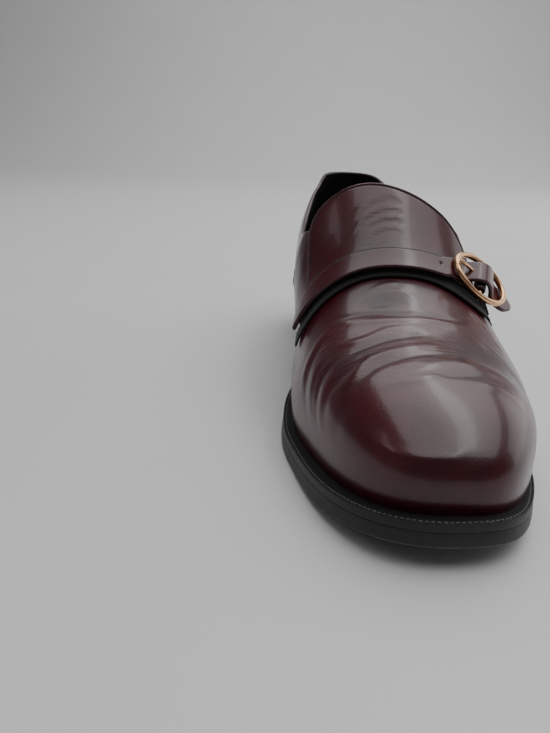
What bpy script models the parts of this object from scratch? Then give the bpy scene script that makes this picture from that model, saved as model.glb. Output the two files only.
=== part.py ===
# Monk strap slip-on shoe for the left foot, with a welted sole, a hollow upper, a high tongue
# and a buckled strap across the instep.
# Units are metres. +Z is up, the toe points along -Y and +X is the outer side of the foot.
# The origin lies on the floor, under the middle of the heel. A station is a distance along the
# sole from the back of the heel, and a share is a station divided by the sole's length.

import math

import bpy
import bmesh
import numpy as np

# Sole
SOLE_LENGTH = 0.302
BALL_WIDTH = 0.099
HEEL_WIDTH = 0.068
HEEL_HEIGHT = 0.029
HEEL_LENGTH = 0.070
TOP_PIECE_THICKNESS = 0.006
HEEL_TAPER = 0.0025
HEEL_INSET = 0.0008
BREAST_CURVE = 0.005
SHANK_DROP = 0.12
TREAD_SHARE = 0.600
SPRING_SHARE = 0.720
TOE_SPRING = 0.0090
OUTSOLE_THICKNESS = 0.0052
OUTSOLE_FLARE = 0.0005
OUTSOLE_EDGE_ROUND = 0.0008
WELT_THICKNESS = 0.0036
WELT_PROJECTION = 0.0062
WELT_INSIDE = 0.0050
WELT_EDGE_ROUND = 0.0007
INSOLE_THICKNESS = 0.0030

# Upper
UPPER_WALL = 0.0020
TOE_BOX_HEIGHT = 0.0390
INSTEP_HEIGHT = 0.0740
BACK_HEIGHT = 0.0625
BACK_SETBACK = 0.0020
THROAT_SHARE = 0.530
HEEL_FAN_SHARE = 0.115
TOE_FAN_SHARE = 0.800
CROWN_POWER = 2.2
TOE_PLAN_POWER = 2.85
HEEL_PLAN_POWER = 2.15

# Tongue, gore and strap
TONGUE_THICKNESS = 0.0019
TONGUE_LENGTH = 0.0300
TONGUE_MEDIAL = 0.0600
TONGUE_LATERAL = 0.0418
TONGUE_SPREAD = 0.0030
TONGUE_CORNER_POWER = 6.0
TONGUE_SIDE_DEPTH = 0.12
TONGUE_UNDERLAP = 0.25
TONGUE_SKEW = 0.0050
TONGUE_FLARE = 0.0010
GORE_THICKNESS = 0.0010
GORE_MEDIAL = 0.0555
GORE_LATERAL = 0.0490
STRAP_STATION = 0.1795
STRAP_WIDTH = 0.0125
STRAP_THICKNESS = 0.0020
STRAP_MEDIAL = 0.0515
STRAP_LANDING = 0.0033
STRAP_TIP = 0.0060
STRAP_TIP_NARROWING = 0.45
STRAP_EDGES = (-1.0, -0.62, -0.20, 0.20, 0.62, 1.0)

# Buckle
BUCKLE_LENGTH = 0.0330
BUCKLE_WIDTH = 0.0244
BUCKLE_WIRE = 0.0028
BUCKLE_BAR = 0.0024
BUCKLE_GIRTH = 0.0276
BUCKLE_SHIFT = -0.0040
BUCKLE_RISE = 0.0006
BUCKLE_DIP = math.radians(8.0)
PRONG_WIRE = 0.0016
PRONG_HOOK = (-250.0, 20.0)
CHAPE_WIDTH = 0.0110
CHAPE_THICKNESS = 0.0012
CHAPE_GIRTH = 0.0570
CHAPE_FOOT = 0.0055
CHAPE_TURN = (-45.0, 235.0)
CHAPE_SLIT_TURN = -62.0
CHAPE_SLIT_DROP = 0.0040
CHAPE_BRIDGE = (84.0, 140.0)
CHAPE_EDGES = (-1.0, -0.45, 0.45, 1.0)

# Space between neighbouring pieces
CLEARANCE = 0.0003
SKIN_LIFT = 2.0 * CLEARANCE
STRAP_LIFT = SKIN_LIFT + TONGUE_THICKNESS + 2.0 * CLEARANCE

# Sections of the upper. Half widths, lean and tuck are shares of the local width, which goes
# from the heel's to the ball's with the column named ball. Ridge and belly are shares of the
# local height, which goes from the instep's to the toe box's with the column named toe, and
# both stand above the welt. The ridge behind the throat is where the arch would close.
# Lean moves the ridge sideways, pinch draws the collar in, tuck draws in the wall's foot, and
# the last two columns are shares of the welt's projection.
SECTION_COLUMNS = (
    "share", "ball", "medial", "lateral", "toe", "ridge", "belly", "power", "lean", "pinch",
    "tuck_medial", "tuck_lateral", "welt_medial", "welt_lateral",
)
SECTIONS = (
    (0.000, 0.00, 0.456, 0.471, 0.0, 1.305, 0.324, 2.20, 0.000, 0.95, 0.040, 0.040, 0.34, 0.34),
    (0.115, 0.00, 0.493, 0.500, 0.0, 1.292, 0.324, 2.20, 0.000, 0.95, 0.040, 0.040, 0.34, 0.34),
    (0.220, 0.10, 0.478, 0.506, 0.0, 1.238, 0.324, 2.20, 0.000, 0.90, 0.060, 0.050, 0.34, 0.34),
    (0.350, 0.45, 0.433, 0.506, 0.0, 1.316, 0.297, 2.10, 0.000, 0.60, 0.120, 0.070, 0.36, 0.36),
    (0.430, 0.70, 0.424, 0.513, 0.0, 1.380, 0.257, 2.00, 0.000, 0.20, 0.130, 0.070, 0.40, 0.42),
    (0.500, 0.85, 0.435, 0.523, 0.0, 1.202, 0.216, 1.95, -0.011, 0.00, 0.110, 0.060, 0.48, 0.48),
    (0.550, 0.95, 0.441, 0.532, 0.0, 1.011, 0.189, 1.90, -0.021, 0.00, 0.080, 0.055, 0.56, 0.50),
    (0.600, 1.00, 0.460, 0.538, 0.0, 0.839, 0.162, 1.95, -0.030, 0.00, 0.050, 0.055, 0.64, 0.48),
    (0.660, 1.00, 0.478, 0.537, 0.2, 0.785, 0.149, 2.05, -0.035, 0.00, 0.030, 0.055, 0.68, 0.44),
    (0.720, 1.00, 0.481, 0.515, 0.5, 0.825, 0.159, 2.20, -0.035, 0.00, 0.020, 0.045, 0.70, 0.42),
    (0.790, 1.00, 0.446, 0.453, 0.8, 0.925, 0.174, 2.50, -0.025, 0.00, 0.015, 0.030, 0.80, 0.22),
    (0.860, 1.00, 0.400, 0.386, 1.0, 0.996, 0.179, 2.80, -0.010, 0.00, 0.010, 0.020, 0.92, 0.26),
    (0.920, 1.00, 0.364, 0.322, 1.0, 0.885, 0.154, 3.00, 0.000, 0.00, 0.010, 0.010, 1.00, 0.45),
    (1.000, 1.00, 0.318, 0.258, 1.0, 0.682, 0.128, 3.00, 0.000, 0.00, 0.010, 0.010, 1.00, 1.00),
)
PINCH_POWER = 1.6

# Topline above the welt: shares of the back's height and of the instep's height, added up.
TOPLINE_COLUMNS = ("share", "back", "instep")
TOPLINE = (
    (0.000, 1.000, 0.000),
    (0.060, 0.990, 0.000),
    (0.160, 0.885, 0.000),
    (0.280, 0.740, 0.000),
    (0.380, 0.790, 0.000),
    (0.460, 0.480, 0.430),
    (0.500, 0.000, 0.950),
    (0.530, 0.000, 1.080),
)

# How far the gore reaches in front of the strap: girth as a share of the gore's own reach on
# that side, medial negative, and the reach as a share of the strap's width.
GORE_EDGE_COLUMNS = ("girth", "front")
GORE_EDGE = (
    (-1.00, 0.34),
    (-0.60, 0.26),
    (0.00, 0.22),
    (0.45, 0.30),
    (0.80, 0.52),
    (1.00, 0.40),
)

# Run of the strap through the buckle: place along the frame as a share of half its length,
# height as a weight between passing under the frame (0) and over the bar (1), and how far it
# lies towards the toe as a share of the strap's width.
STRAP_RUN_COLUMNS = ("along", "over", "aside")
STRAP_RUN = (
    (-1.05, 0.00, 0.17),
    (-0.80, 0.00, 0.15),
    (-0.62, 0.02, 0.08),
    (-0.30, 0.62, 0.03),
    (-0.12, 0.95, 0.01),
    (0.00, 1.00, 0.00),
    (0.12, 0.95, 0.00),
    (0.34, 0.58, 0.00),
    (0.62, 0.02, 0.00),
    (0.80, 0.00, 0.00),
    (1.00, 0.00, 0.00),
)
SLOT_START = -0.56
SLOT_END = -0.17

# Shank of the prong beyond its hook: place towards the strap's inner end as a share of half the
# frame's length, and height as a share of the height at which it rests on the frame.
PRONG_RUN_COLUMNS = ("along", "height")
PRONG_RUN = (
    (0.40, 0.42),
    (0.62, 0.72),
    (0.85, 1.00),
    (1.04, 1.00),
)

# How finely the forms are divided
HEEL_SPOKES = 6
STATIONS = 21
THROAT_STEPS = (0.60, 0.28, 0.07)
TOE_SPOKES = 8
UPPER_ROWS = 11
CURVE_STEPS = 90
FOOT_STEPS = 16
HEEL_SIDE_POINTS = 12
BREAST_POINTS = 5
TONGUE_COLUMNS = 26
TONGUE_ROWS = 9
GORE_COLUMNS = 22
STRAP_SKIN_STEPS = 28
SLOT_STEPS = 3
HOOK_STEPS = 13
CHAPE_STEPS = 13
WIRE_STEPS = 40
PROBE = 0.0005


def clear_scene():
    for old in list(bpy.data.objects):
        bpy.data.objects.remove(old, do_unlink=True)


def material(name, colour, roughness, metallic=0.0):
    """Make one Principled material, its colour given in linear light."""
    made = bpy.data.materials.new(name)
    made.use_nodes = True
    shader = made.node_tree.nodes["Principled BSDF"]
    shader.inputs["Base Color"].default_value = (*colour, 1.0)
    shader.inputs["Roughness"].default_value = roughness
    shader.inputs["Metallic"].default_value = metallic
    return made


def natural_spline(knots, values):
    """Return a smooth function through the knots, straight at both ends."""
    knots = np.asarray(knots, float)
    values = np.asarray(values, float)
    gap = np.diff(knots)
    matrix = np.eye(len(knots))
    right = np.zeros(len(knots))
    for i in range(1, len(knots) - 1):
        matrix[i, i - 1:i + 2] = gap[i - 1], 2.0 * (gap[i - 1] + gap[i]), gap[i]
        right[i] = 6.0 * ((values[i + 1] - values[i]) / gap[i] - (values[i] - values[i - 1]) / gap[i - 1])
    bend = np.linalg.solve(matrix, right)

    def value(x):
        x = np.asarray(x, float)
        i = np.clip(np.searchsorted(knots, x) - 1, 0, len(knots) - 2)
        a = (knots[i + 1] - x) / gap[i]
        b = (x - knots[i]) / gap[i]
        curve = ((a ** 3 - a) * bend[i] + (b ** 3 - b) * bend[i + 1]) * gap[i] ** 2 / 6.0
        return a * values[i] + b * values[i + 1] + curve

    return value


def table(columns, rows):
    return dict(zip(columns, np.array(rows).T))


def table_spline(columns, rows, knots, values):
    named = table(columns, rows)
    return natural_spline(named[knots], named[values])


def section_sizes():
    """Turn the shares of the section table into lengths, as smooth functions of the station."""
    rows = table(SECTION_COLUMNS, SECTIONS)
    width = HEEL_WIDTH + rows["ball"] * (BALL_WIDTH - HEEL_WIDTH)
    height = INSTEP_HEIGHT + rows["toe"] * (TOE_BOX_HEIGHT - INSTEP_HEIGHT)
    factor = {
        "medial": width, "lateral": width, "lean": width, "ridge": height, "belly": height,
        "welt_medial": WELT_PROJECTION, "welt_lateral": WELT_PROJECTION,
    }
    station = rows["share"] * SOLE_LENGTH
    return {
        name: natural_spline(station, rows[name] * factor.get(name, 1.0))
        for name in SECTION_COLUMNS if name not in ("share", "ball", "toe")
    }


SIZE = section_sizes()
GORE_FRONT = table_spline(GORE_EDGE_COLUMNS, GORE_EDGE, "girth", "front")
STRAP_OVER = table_spline(STRAP_RUN_COLUMNS, STRAP_RUN, "along", "over")
STRAP_ASIDE = table_spline(STRAP_RUN_COLUMNS, STRAP_RUN, "along", "aside")


def topline_height(station):
    """Height of the topline above the welt."""
    rows = table(TOPLINE_COLUMNS, TOPLINE)
    height = rows["back"] * BACK_HEIGHT + rows["instep"] * INSTEP_HEIGHT
    return natural_spline(rows["share"] * SOLE_LENGTH, height)(station)


def tread_height(station):
    """Underside of the outsole: level over the heel, down the shank, level tread, toe spring."""
    station = np.asarray(station, float)
    tread = TREAD_SHARE * SOLE_LENGTH
    run = tread - HEEL_LENGTH
    t = np.clip((station - HEEL_LENGTH) / run, 0.0, 1.0)
    shank = HEEL_HEIGHT * (2 * t ** 3 - 3 * t ** 2 + 1) - SHANK_DROP * run * (t ** 3 - 2 * t ** 2 + t)
    spring = np.clip((station / SOLE_LENGTH - SPRING_SHARE) / (1.0 - SPRING_SHARE), 0.0, 1.0)
    return np.where(station < HEEL_LENGTH, HEEL_HEIGHT, shank) + TOE_SPRING * spring ** 2


def welt_top(station):
    return tread_height(station) + OUTSOLE_THICKNESS + CLEARANCE + WELT_THICKNESS


def upper_foot(station):
    """Height of the upper's lower edge, just above the welt."""
    return welt_top(station) + CLEARANCE


def world(points):
    """Turn (x, station, z) into the shoe's own axes."""
    points = np.array(points, float)
    points[..., 1] = HEEL_LENGTH / 2.0 - points[..., 1]
    return points


def spoke_curve(side, centre, reach, part):
    """Outer surface of the upper over one spoke, from the welt up to the ridge.

    A spoke is a plan line from the point on the ridge at centre out to the side wall. It
    reaches along the foot by reach, and sideways by part of the half width. Below the widest
    level the wall tucks in with the square of the depth. Above it the section is an arch:
    width falls with the cosine and height rises with the sine of one angle, each to a power.
    """
    depth = np.linspace(1.0, 0.0, FOOT_STEPS, endpoint=False)
    angle = np.linspace(0.0, math.pi / 2.0, CURVE_STEPS)
    tuck = SIZE["tuck_lateral" if side > 0 else "tuck_medial"](centre + reach)
    out = np.concatenate((1.0 - tuck * depth ** 2, np.cos(angle) ** (2.0 / CROWN_POWER)))
    station = centre + reach * out
    rise = np.concatenate((np.zeros(FOOT_STEPS), np.sin(angle))) ** (2.0 / SIZE["power"](station))
    below = np.concatenate((depth, np.zeros(CURVE_STEPS)))
    belly = SIZE["belly"](station)
    z = upper_foot(station) + belly * (1.0 - below) + (SIZE["ridge"](station) - belly) * rise
    half = SIZE["lateral" if side > 0 else "medial"](station)
    half = half * (1.0 - SIZE["pinch"](station) * rise ** PINCH_POWER)
    x = side * half * out * part + SIZE["lean"](station) * (1.0 - np.minimum(out, 1.0) ** 2)
    return np.stack((x, station, z), axis=1)


def fan(power, count):
    """Even directions around a rounded end: reach and side part of each, ends included."""
    turn = np.linspace(0.0, math.pi / 2.0, count + 1)
    scale = (np.cos(turn) ** power + np.sin(turn) ** power) ** (-1.0 / power)
    return np.sin(turn) * scale, np.cos(turn) * scale


def spokes():
    """All spokes of one side, from the back of the heel to the tip of the toe."""
    heel = HEEL_FAN_SHARE * SOLE_LENGTH
    toe = TOE_FAN_SHARE * SOLE_LENGTH
    throat = THROAT_SHARE * SOLE_LENGTH
    over_heel = round(STATIONS * (HEEL_LENGTH - heel) / (toe - heel))
    waist = round(STATIONS * (throat - HEEL_LENGTH) / (toe - heel))
    ahead = STATIONS - over_heel - waist
    along, across = fan(HEEL_PLAN_POWER, HEEL_SPOKES)
    rows = [(heel, -(heel - BACK_SETBACK) * a, b) for a, b in zip(along[:0:-1], across[:0:-1])]
    stations = np.concatenate((
        np.linspace(heel, HEEL_LENGTH, over_heel, endpoint=False),
        np.linspace(HEEL_LENGTH, throat, waist, endpoint=False),
        throat - np.array(THROAT_STEPS) * (throat - HEEL_LENGTH) / waist,
        np.linspace(throat, toe, ahead, endpoint=False),
    ))
    rows += [(station, 0.0, 1.0) for station in stations]
    along, across = fan(TOE_PLAN_POWER, TOE_SPOKES)
    tip = SOLE_LENGTH - WELT_PROJECTION - toe
    rows += [(toe, tip * a, b) for a, b in zip(along, across)]
    return rows


def around(make):
    """Run make(side, spoke) round the shoe: the medial side forwards, the lateral side back."""
    rows = spokes()
    medial = [make(-1, row) for row in rows]
    lateral = [make(1, row) for row in rows[1:-1]]
    return medial + lateral[::-1]


def rim():
    """Foot of the upper as a closed loop of (x, station), and the welt's projection there."""
    loop = np.array(around(lambda side, row: spoke_curve(side, *row)[0, :2]))
    welt = around(lambda side, row: float(SIZE["welt_lateral" if side > 0 else "welt_medial"](row[0] + row[1])))
    return loop, np.array(welt)


def offset(loop, distance):
    """Move a closed plan loop outwards by a distance at each point."""
    along = np.roll(loop, -1, axis=0) - np.roll(loop, 1, axis=0)
    normal = np.stack((-along[:, 1], along[:, 0]), axis=1)
    normal /= np.linalg.norm(normal, axis=1)[:, None]
    return loop + normal * np.asarray(distance).reshape(-1, 1)


def ring(loop, height):
    """Set a plan loop at a height above the outsole's underside."""
    z = tread_height(loop[:, 1]) + height
    return np.column_stack((loop, z))


def new_object(name, points, faces, look, smooth_angle=35.0, merge=1e-5):
    """Make an object from points in (x, station, z), with its faces pointing outwards."""
    mesh = bpy.data.meshes.new(name)
    mesh.from_pydata(world(points).tolist(), [], faces)
    shape = bmesh.new()
    shape.from_mesh(mesh)
    bmesh.ops.remove_doubles(shape, verts=shape.verts, dist=merge)
    bmesh.ops.recalc_face_normals(shape, faces=shape.faces)
    shape.to_mesh(mesh)
    shape.free()
    mesh.shade_smooth()
    mesh.set_sharp_from_angle(angle=math.radians(smooth_angle))
    mesh.materials.append(look)
    made = bpy.data.objects.new(name, mesh)
    shoe.objects.link(made)
    return made


def grid_faces(columns, rows, wrap_columns=False, wrap_rows=False, skip=()):
    """Quads of a grid stored column by column."""
    faces = []
    for i in range(columns if wrap_columns else columns - 1):
        for j in range(rows if wrap_rows else rows - 1):
            if (i, j) in skip:
                continue
            k, m = (i + 1) % columns, (j + 1) % rows
            faces.append((i * rows + j, k * rows + j, k * rows + m, i * rows + m))
    return faces


def strip_cap(count, shift):
    """Close a loop by strips from side to side, so that a level part stays level."""
    half = count // 2
    faces = [(shift, shift + 1, shift + count - 1)]
    for j in range(1, half - 1):
        faces.append((shift + j, shift + j + 1, shift + count - j - 1, shift + count - j))
    faces.append((shift + half - 1, shift + half, shift + half + 1))
    return faces


def lofted(name, rings, look, capped=True, closed=False):
    """Join loops of equal count into one solid, with strips or plain polygons at the ends."""
    count = len(rings[0])
    points = np.concatenate(rings)
    faces = grid_faces(len(rings), count, wrap_columns=closed, wrap_rows=True)
    if not closed and capped:
        faces += strip_cap(count, 0) + strip_cap(count, count * (len(rings) - 1))
    elif not closed:
        last = count * (len(rings) - 1)
        faces += [tuple(range(count)), tuple(range(last, last + count))]
    return new_object(name, points, faces, look)


def thicken(made, thickness, outwards):
    """Give an open surface its wall, on its outer or its inner side."""
    wall = made.modifiers.new("wall", "SOLIDIFY")
    wall.thickness = thickness
    wall.offset = 1.0 if outwards else -1.0
    wall.use_even_offset = True
    wall.use_quality_normals = True


def face_outwards(made, middle, near=1.0):
    """Turn an open surface so that its faces near a middle point away from it."""
    mesh = made.data
    centre = world([middle])[0]
    total = 0.0
    for poly in mesh.polygons:
        away = np.array(poly.center) - centre
        if np.linalg.norm(away) < near:
            total += float(away.dot(poly.normal)) * poly.area
    if total < 0.0:
        mesh.flip_normals()


def build_outsole(loop, welt, look):
    edge = offset(loop, welt + OUTSOLE_FLARE)
    inner = offset(loop, welt + OUTSOLE_FLARE - OUTSOLE_EDGE_ROUND)
    rings = [
        ring(inner, 0.0),
        ring(edge, OUTSOLE_EDGE_ROUND),
        ring(edge, OUTSOLE_THICKNESS - OUTSOLE_EDGE_ROUND),
        ring(inner, OUTSOLE_THICKNESS),
    ]
    lofted("outsole", rings, look)


def build_welt(loop, welt, look):
    base = OUTSOLE_THICKNESS + CLEARANCE
    edge = offset(loop, welt)
    shoulder = offset(loop, welt - WELT_EDGE_ROUND)
    inner = offset(loop, -WELT_INSIDE)
    rings = [
        ring(inner, base),
        ring(shoulder, base),
        ring(edge, base + WELT_EDGE_ROUND),
        ring(edge, base + WELT_THICKNESS - WELT_EDGE_ROUND),
        ring(shoulder, base + WELT_THICKNESS),
        ring(inner, base + WELT_THICKNESS),
    ]
    lofted("welt", rings, look, closed=True)


def build_insole(loop, look):
    """A stepped board: its lower part fills the welt's ring, its upper part meets the wall."""
    low = offset(loop, -WELT_INSIDE - CLEARANCE)
    wide = offset(loop, -UPPER_WALL - 3.0 * CLEARANCE)
    base = OUTSOLE_THICKNESS + CLEARANCE
    step = base + WELT_THICKNESS + CLEARANCE
    rings = [ring(low, base), ring(low, step), ring(wide, step), ring(wide, step + INSOLE_THICKNESS)]
    lofted("insole", rings, look)


def heel_ring(loop, welt, inset, z):
    """Outline of the heel at one level: the sole's edge behind the breast, and the breast."""
    outline = offset(loop, welt + OUTSOLE_FLARE - HEEL_INSET - inset)
    half = len(outline) // 2
    sides = []
    for side in (outline[:half + 1], np.roll(outline[::-1], 1, axis=0)[:half + 1]):
        behind = side[side[:, 1] < HEEL_LENGTH]
        corner = (np.interp(HEEL_LENGTH, side[:, 1], side[:, 0]), HEEL_LENGTH)
        path = np.vstack((behind, corner))
        length = np.concatenate(([0.0], np.cumsum(np.linalg.norm(np.diff(path, axis=0), axis=1))))
        even = np.linspace(0.0, length[-1], HEEL_SIDE_POINTS)
        sides.append(np.stack([np.interp(even, length, path[:, k]) for k in (0, 1)], axis=1))
    medial, lateral = sides
    share = np.linspace(-1.0, 1.0, BREAST_POINTS + 2)[1:-1]
    middle, reach = (medial[-1, 0] + lateral[-1, 0]) / 2.0, (lateral[-1, 0] - medial[-1, 0]) / 2.0
    breast = np.stack((middle + share * reach, HEEL_LENGTH - BREAST_CURVE * (1.0 - share ** 2)), axis=1)
    plan = np.vstack((medial, breast, lateral[:0:-1]))
    return np.column_stack((plan, np.full(len(plan), z)))


def build_heel(loop, welt, stack_look, rubber_look):
    """Stacked heel and its top piece, tapered evenly towards the floor."""
    top = HEEL_HEIGHT - CLEARANCE
    seam = TOP_PIECE_THICKNESS
    taper = HEEL_TAPER / top
    stack = [
        heel_ring(loop, welt, taper * (top - seam - CLEARANCE), seam + CLEARANCE),
        heel_ring(loop, welt, 0.0, top),
    ]
    lofted("heel_stack", stack, stack_look, capped=False)
    piece = [
        heel_ring(loop, welt, HEEL_TAPER, 0.0),
        heel_ring(loop, welt, taper * (top - seam), seam),
    ]
    lofted("heel_top_piece", piece, rubber_look, capped=False)


def upper_column(side, row):
    """Points of the upper over one spoke, evenly spaced from the welt to topline or ridge."""
    curve = spoke_curve(side, *row)
    station = row[0] + row[1]
    length = np.concatenate(([0.0], np.cumsum(np.linalg.norm(np.diff(curve, axis=0), axis=1))))
    end = length[-1]
    if station < THROAT_SHARE * SOLE_LENGTH - PROBE:
        top = upper_foot(station) + topline_height(station)
        end = float(np.interp(top, curve[:, 2], length))
    even = np.linspace(0.0, end, UPPER_ROWS + 1)
    return np.stack([np.interp(even, length, curve[:, k]) for k in range(3)], axis=1)


def build_upper(look):
    columns = around(upper_column)
    points = np.concatenate(columns)
    faces = grid_faces(len(columns), UPPER_ROWS + 1, wrap_columns=True)
    made = new_object("upper", points, faces, look)
    face_outwards(made, (0.0, SOLE_LENGTH / 2.0, INSTEP_HEIGHT / 2.0))
    thicken(made, UPPER_WALL, outwards=False)


def arch(station):
    """Whole section at a station: girth from the ridge, medial negative, and its points."""
    medial = spoke_curve(-1, station, 0.0, 1.0)
    lateral = spoke_curve(1, station, 0.0, 1.0)
    points = np.vstack((medial, lateral[-2::-1]))
    girth = np.concatenate(([0.0], np.cumsum(np.linalg.norm(np.diff(points, axis=0), axis=1))))
    return girth - girth[len(medial) - 1], points


def skin_point(station, girth):
    along, points = arch(station)
    return np.array([np.interp(girth, along, points[:, k]) for k in range(3)])


def skin_frame(station, girth):
    """Point on the upper, unit directions across and along the foot there, and the normal."""
    across = skin_point(station, girth + PROBE) - skin_point(station, girth - PROBE)
    ahead = skin_point(station + PROBE, girth) - skin_point(station - PROBE, girth)
    across /= np.linalg.norm(across)
    ahead = (ahead - across * ahead.dot(across)) / (2.0 * PROBE)
    stretch = np.linalg.norm(ahead)
    ahead /= stretch
    normal = np.cross(across, ahead)
    return skin_point(station, girth), across, ahead, normal, stretch


def on_skin(station, girth, lift):
    point, _, _, normal, _ = skin_frame(station, girth)
    return point + normal * lift


def strap_reach(girth):
    """Half of the strap's width, as a difference of stations at this girth."""
    return STRAP_WIDTH / 2.0 / skin_frame(STRAP_STATION, girth)[4]


def build_tongue(look):
    """A rounded tab that lies on the instep, from under the strap up to its free top edge."""
    columns = []
    for u in np.sin(np.linspace(-math.pi / 2.0, math.pi / 2.0, TONGUE_COLUMNS + 1)):
        girth = u * (TONGUE_LATERAL if u > 0.0 else TONGUE_MEDIAL)
        front = STRAP_STATION + TONGUE_UNDERLAP * strap_reach(girth)
        round_off = (1.0 - abs(u) ** TONGUE_CORNER_POWER) ** (1.0 / TONGUE_CORNER_POWER)
        side_depth = TONGUE_SIDE_DEPTH + (1.0 - TONGUE_SIDE_DEPTH) * round_off
        depth = TONGUE_LENGTH * side_depth - TONGUE_SKEW * u * round_off
        for v in np.linspace(0.0, 1.0, TONGUE_ROWS + 1):
            spread = girth + u * TONGUE_SPREAD * v * round_off ** 2
            columns.append(on_skin(front - v * depth, spread, SKIN_LIFT + TONGUE_FLARE * v ** 2))
    faces = grid_faces(TONGUE_COLUMNS + 1, TONGUE_ROWS + 1)
    made = new_object("tongue", columns, faces, look)
    face_outwards(made, (0.0, STRAP_STATION, 0.0))
    thicken(made, TONGUE_THICKNESS, outwards=True)


def build_gore(look):
    """The elastic band that shows below the strap, between the vamp and the tongue."""
    points = []
    for u in np.linspace(-1.0, 1.0, GORE_COLUMNS + 1):
        girth = u * (GORE_LATERAL if u > 0.0 else GORE_MEDIAL)
        reach = strap_reach(girth)
        rear = STRAP_STATION + TONGUE_UNDERLAP * reach + 2.0 * CLEARANCE
        front = STRAP_STATION + reach * (1.0 + 2.0 * float(GORE_FRONT(u)))
        for station in (rear, (rear + front) / 2.0, front):
            points.append(on_skin(station, girth, SKIN_LIFT))
    made = new_object("gore", points, grid_faces(GORE_COLUMNS + 1, 3), look)
    face_outwards(made, (0.0, STRAP_STATION, 0.0))
    thicken(made, GORE_THICKNESS, outwards=True)


class BuckleFrame:
    """Directions and heights at the buckle, which rests on the strap at its inner end."""

    def __init__(self):
        point, across, ahead, normal, _ = skin_frame(STRAP_STATION + BUCKLE_SHIFT, BUCKLE_GIRTH)
        self.wire = BUCKLE_WIRE / 2.0
        self.under = -(self.wire + CLEARANCE + STRAP_THICKNESS)
        layers = STRAP_LIFT - self.under + BUCKLE_RISE
        self.along = across * math.cos(BUCKLE_DIP) - normal * math.sin(BUCKLE_DIP)
        self.across = ahead
        self.out = np.cross(self.along, self.across)
        self.half = BUCKLE_LENGTH / 2.0 - self.wire
        self.side = BUCKLE_WIDTH / 2.0 - self.wire
        self.centre = point + normal * layers + self.along * self.half
        self.loop = BUCKLE_BAR / 2.0 + CLEARANCE
        self.over = self.loop + PRONG_WIRE + CLEARANCE

    def place(self, along, across, height):
        return self.centre + self.along * along + self.across * across + self.out * height

    def on_run(self, along, across):
        """Inner face of the strap, at a place along the frame and across the strap."""
        share = along / self.half
        height = self.under + (self.over - self.under) * float(STRAP_OVER(share))
        return self.place(along, across + STRAP_WIDTH * float(STRAP_ASIDE(share)), height)


def build_strap(buckle, look):
    """The strap: round the instep on the skin, then under, over and under the buckle."""
    rows = []
    for girth in np.linspace(-STRAP_MEDIAL, BUCKLE_GIRTH - STRAP_LANDING, STRAP_SKIN_STEPS + 1):
        reach = strap_reach(girth)
        rows.append([on_skin(STRAP_STATION + e * reach, girth, STRAP_LIFT) for e in STRAP_EDGES])
    first, last = STRAP_RUN[0][0], STRAP_RUN[-1][0]
    before = np.linspace(first, SLOT_START, 5, endpoint=False)
    within = np.linspace(SLOT_START, SLOT_END, SLOT_STEPS, endpoint=False)
    beyond = np.linspace(SLOT_END, last, 11)
    slot = range(len(rows) + len(before), len(rows) + len(before) + SLOT_STEPS)
    for share in np.concatenate((before, within, beyond)):
        rows.append([buckle.on_run(share * buckle.half, e * STRAP_WIDTH / 2.0) for e in STRAP_EDGES])
    for step in (0.5, 1.0):
        half = (1.0 - STRAP_TIP_NARROWING * step ** 2) * STRAP_WIDTH / 2.0
        end = last * buckle.half + step * STRAP_TIP
        rows.append([buckle.place(end, e * half, buckle.under) for e in STRAP_EDGES])
    points = np.array(rows).reshape(-1, 3)
    middle = len(STRAP_EDGES) // 2 - 1
    faces = grid_faces(len(rows), len(STRAP_EDGES), skip={(i, middle) for i in slot})
    made = new_object("instep_strap", points, faces, look)
    face_outwards(made, (0.0, STRAP_STATION, 0.0))
    thicken(made, STRAP_THICKNESS, outwards=True)


def tube(name, path, diameter, look, cyclic=False, sides=2):
    """A round wire along a path given in (x, station, z), turned to a closed mesh."""
    curve = bpy.data.curves.new(name, "CURVE")
    curve.dimensions = "3D"
    curve.bevel_depth = diameter / 2.0
    curve.bevel_resolution = sides
    curve.use_fill_caps = not cyclic
    spline = curve.splines.new("POLY")
    spline.points.add(len(path) - 1)
    for point, place in zip(spline.points, world(path)):
        point.co = (*place, 1.0)
    spline.use_cyclic_u = cyclic
    source = bpy.data.objects.new(name + "_path", curve)
    shoe.objects.link(source)
    bpy.context.view_layer.update()
    evaluated = source.evaluated_get(bpy.context.evaluated_depsgraph_get())
    mesh = bpy.data.meshes.new_from_object(evaluated)
    shape = bmesh.new()
    shape.from_mesh(mesh)
    bmesh.ops.remove_doubles(shape, verts=shape.verts, dist=1e-5)
    bmesh.ops.recalc_face_normals(shape, faces=shape.faces)
    shape.to_mesh(mesh)
    shape.free()
    bpy.data.objects.remove(source, do_unlink=True)
    mesh.shade_smooth()
    mesh.materials.clear()
    mesh.materials.append(look)
    made = bpy.data.objects.new(name, mesh)
    shoe.objects.link(made)
    return made


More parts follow.
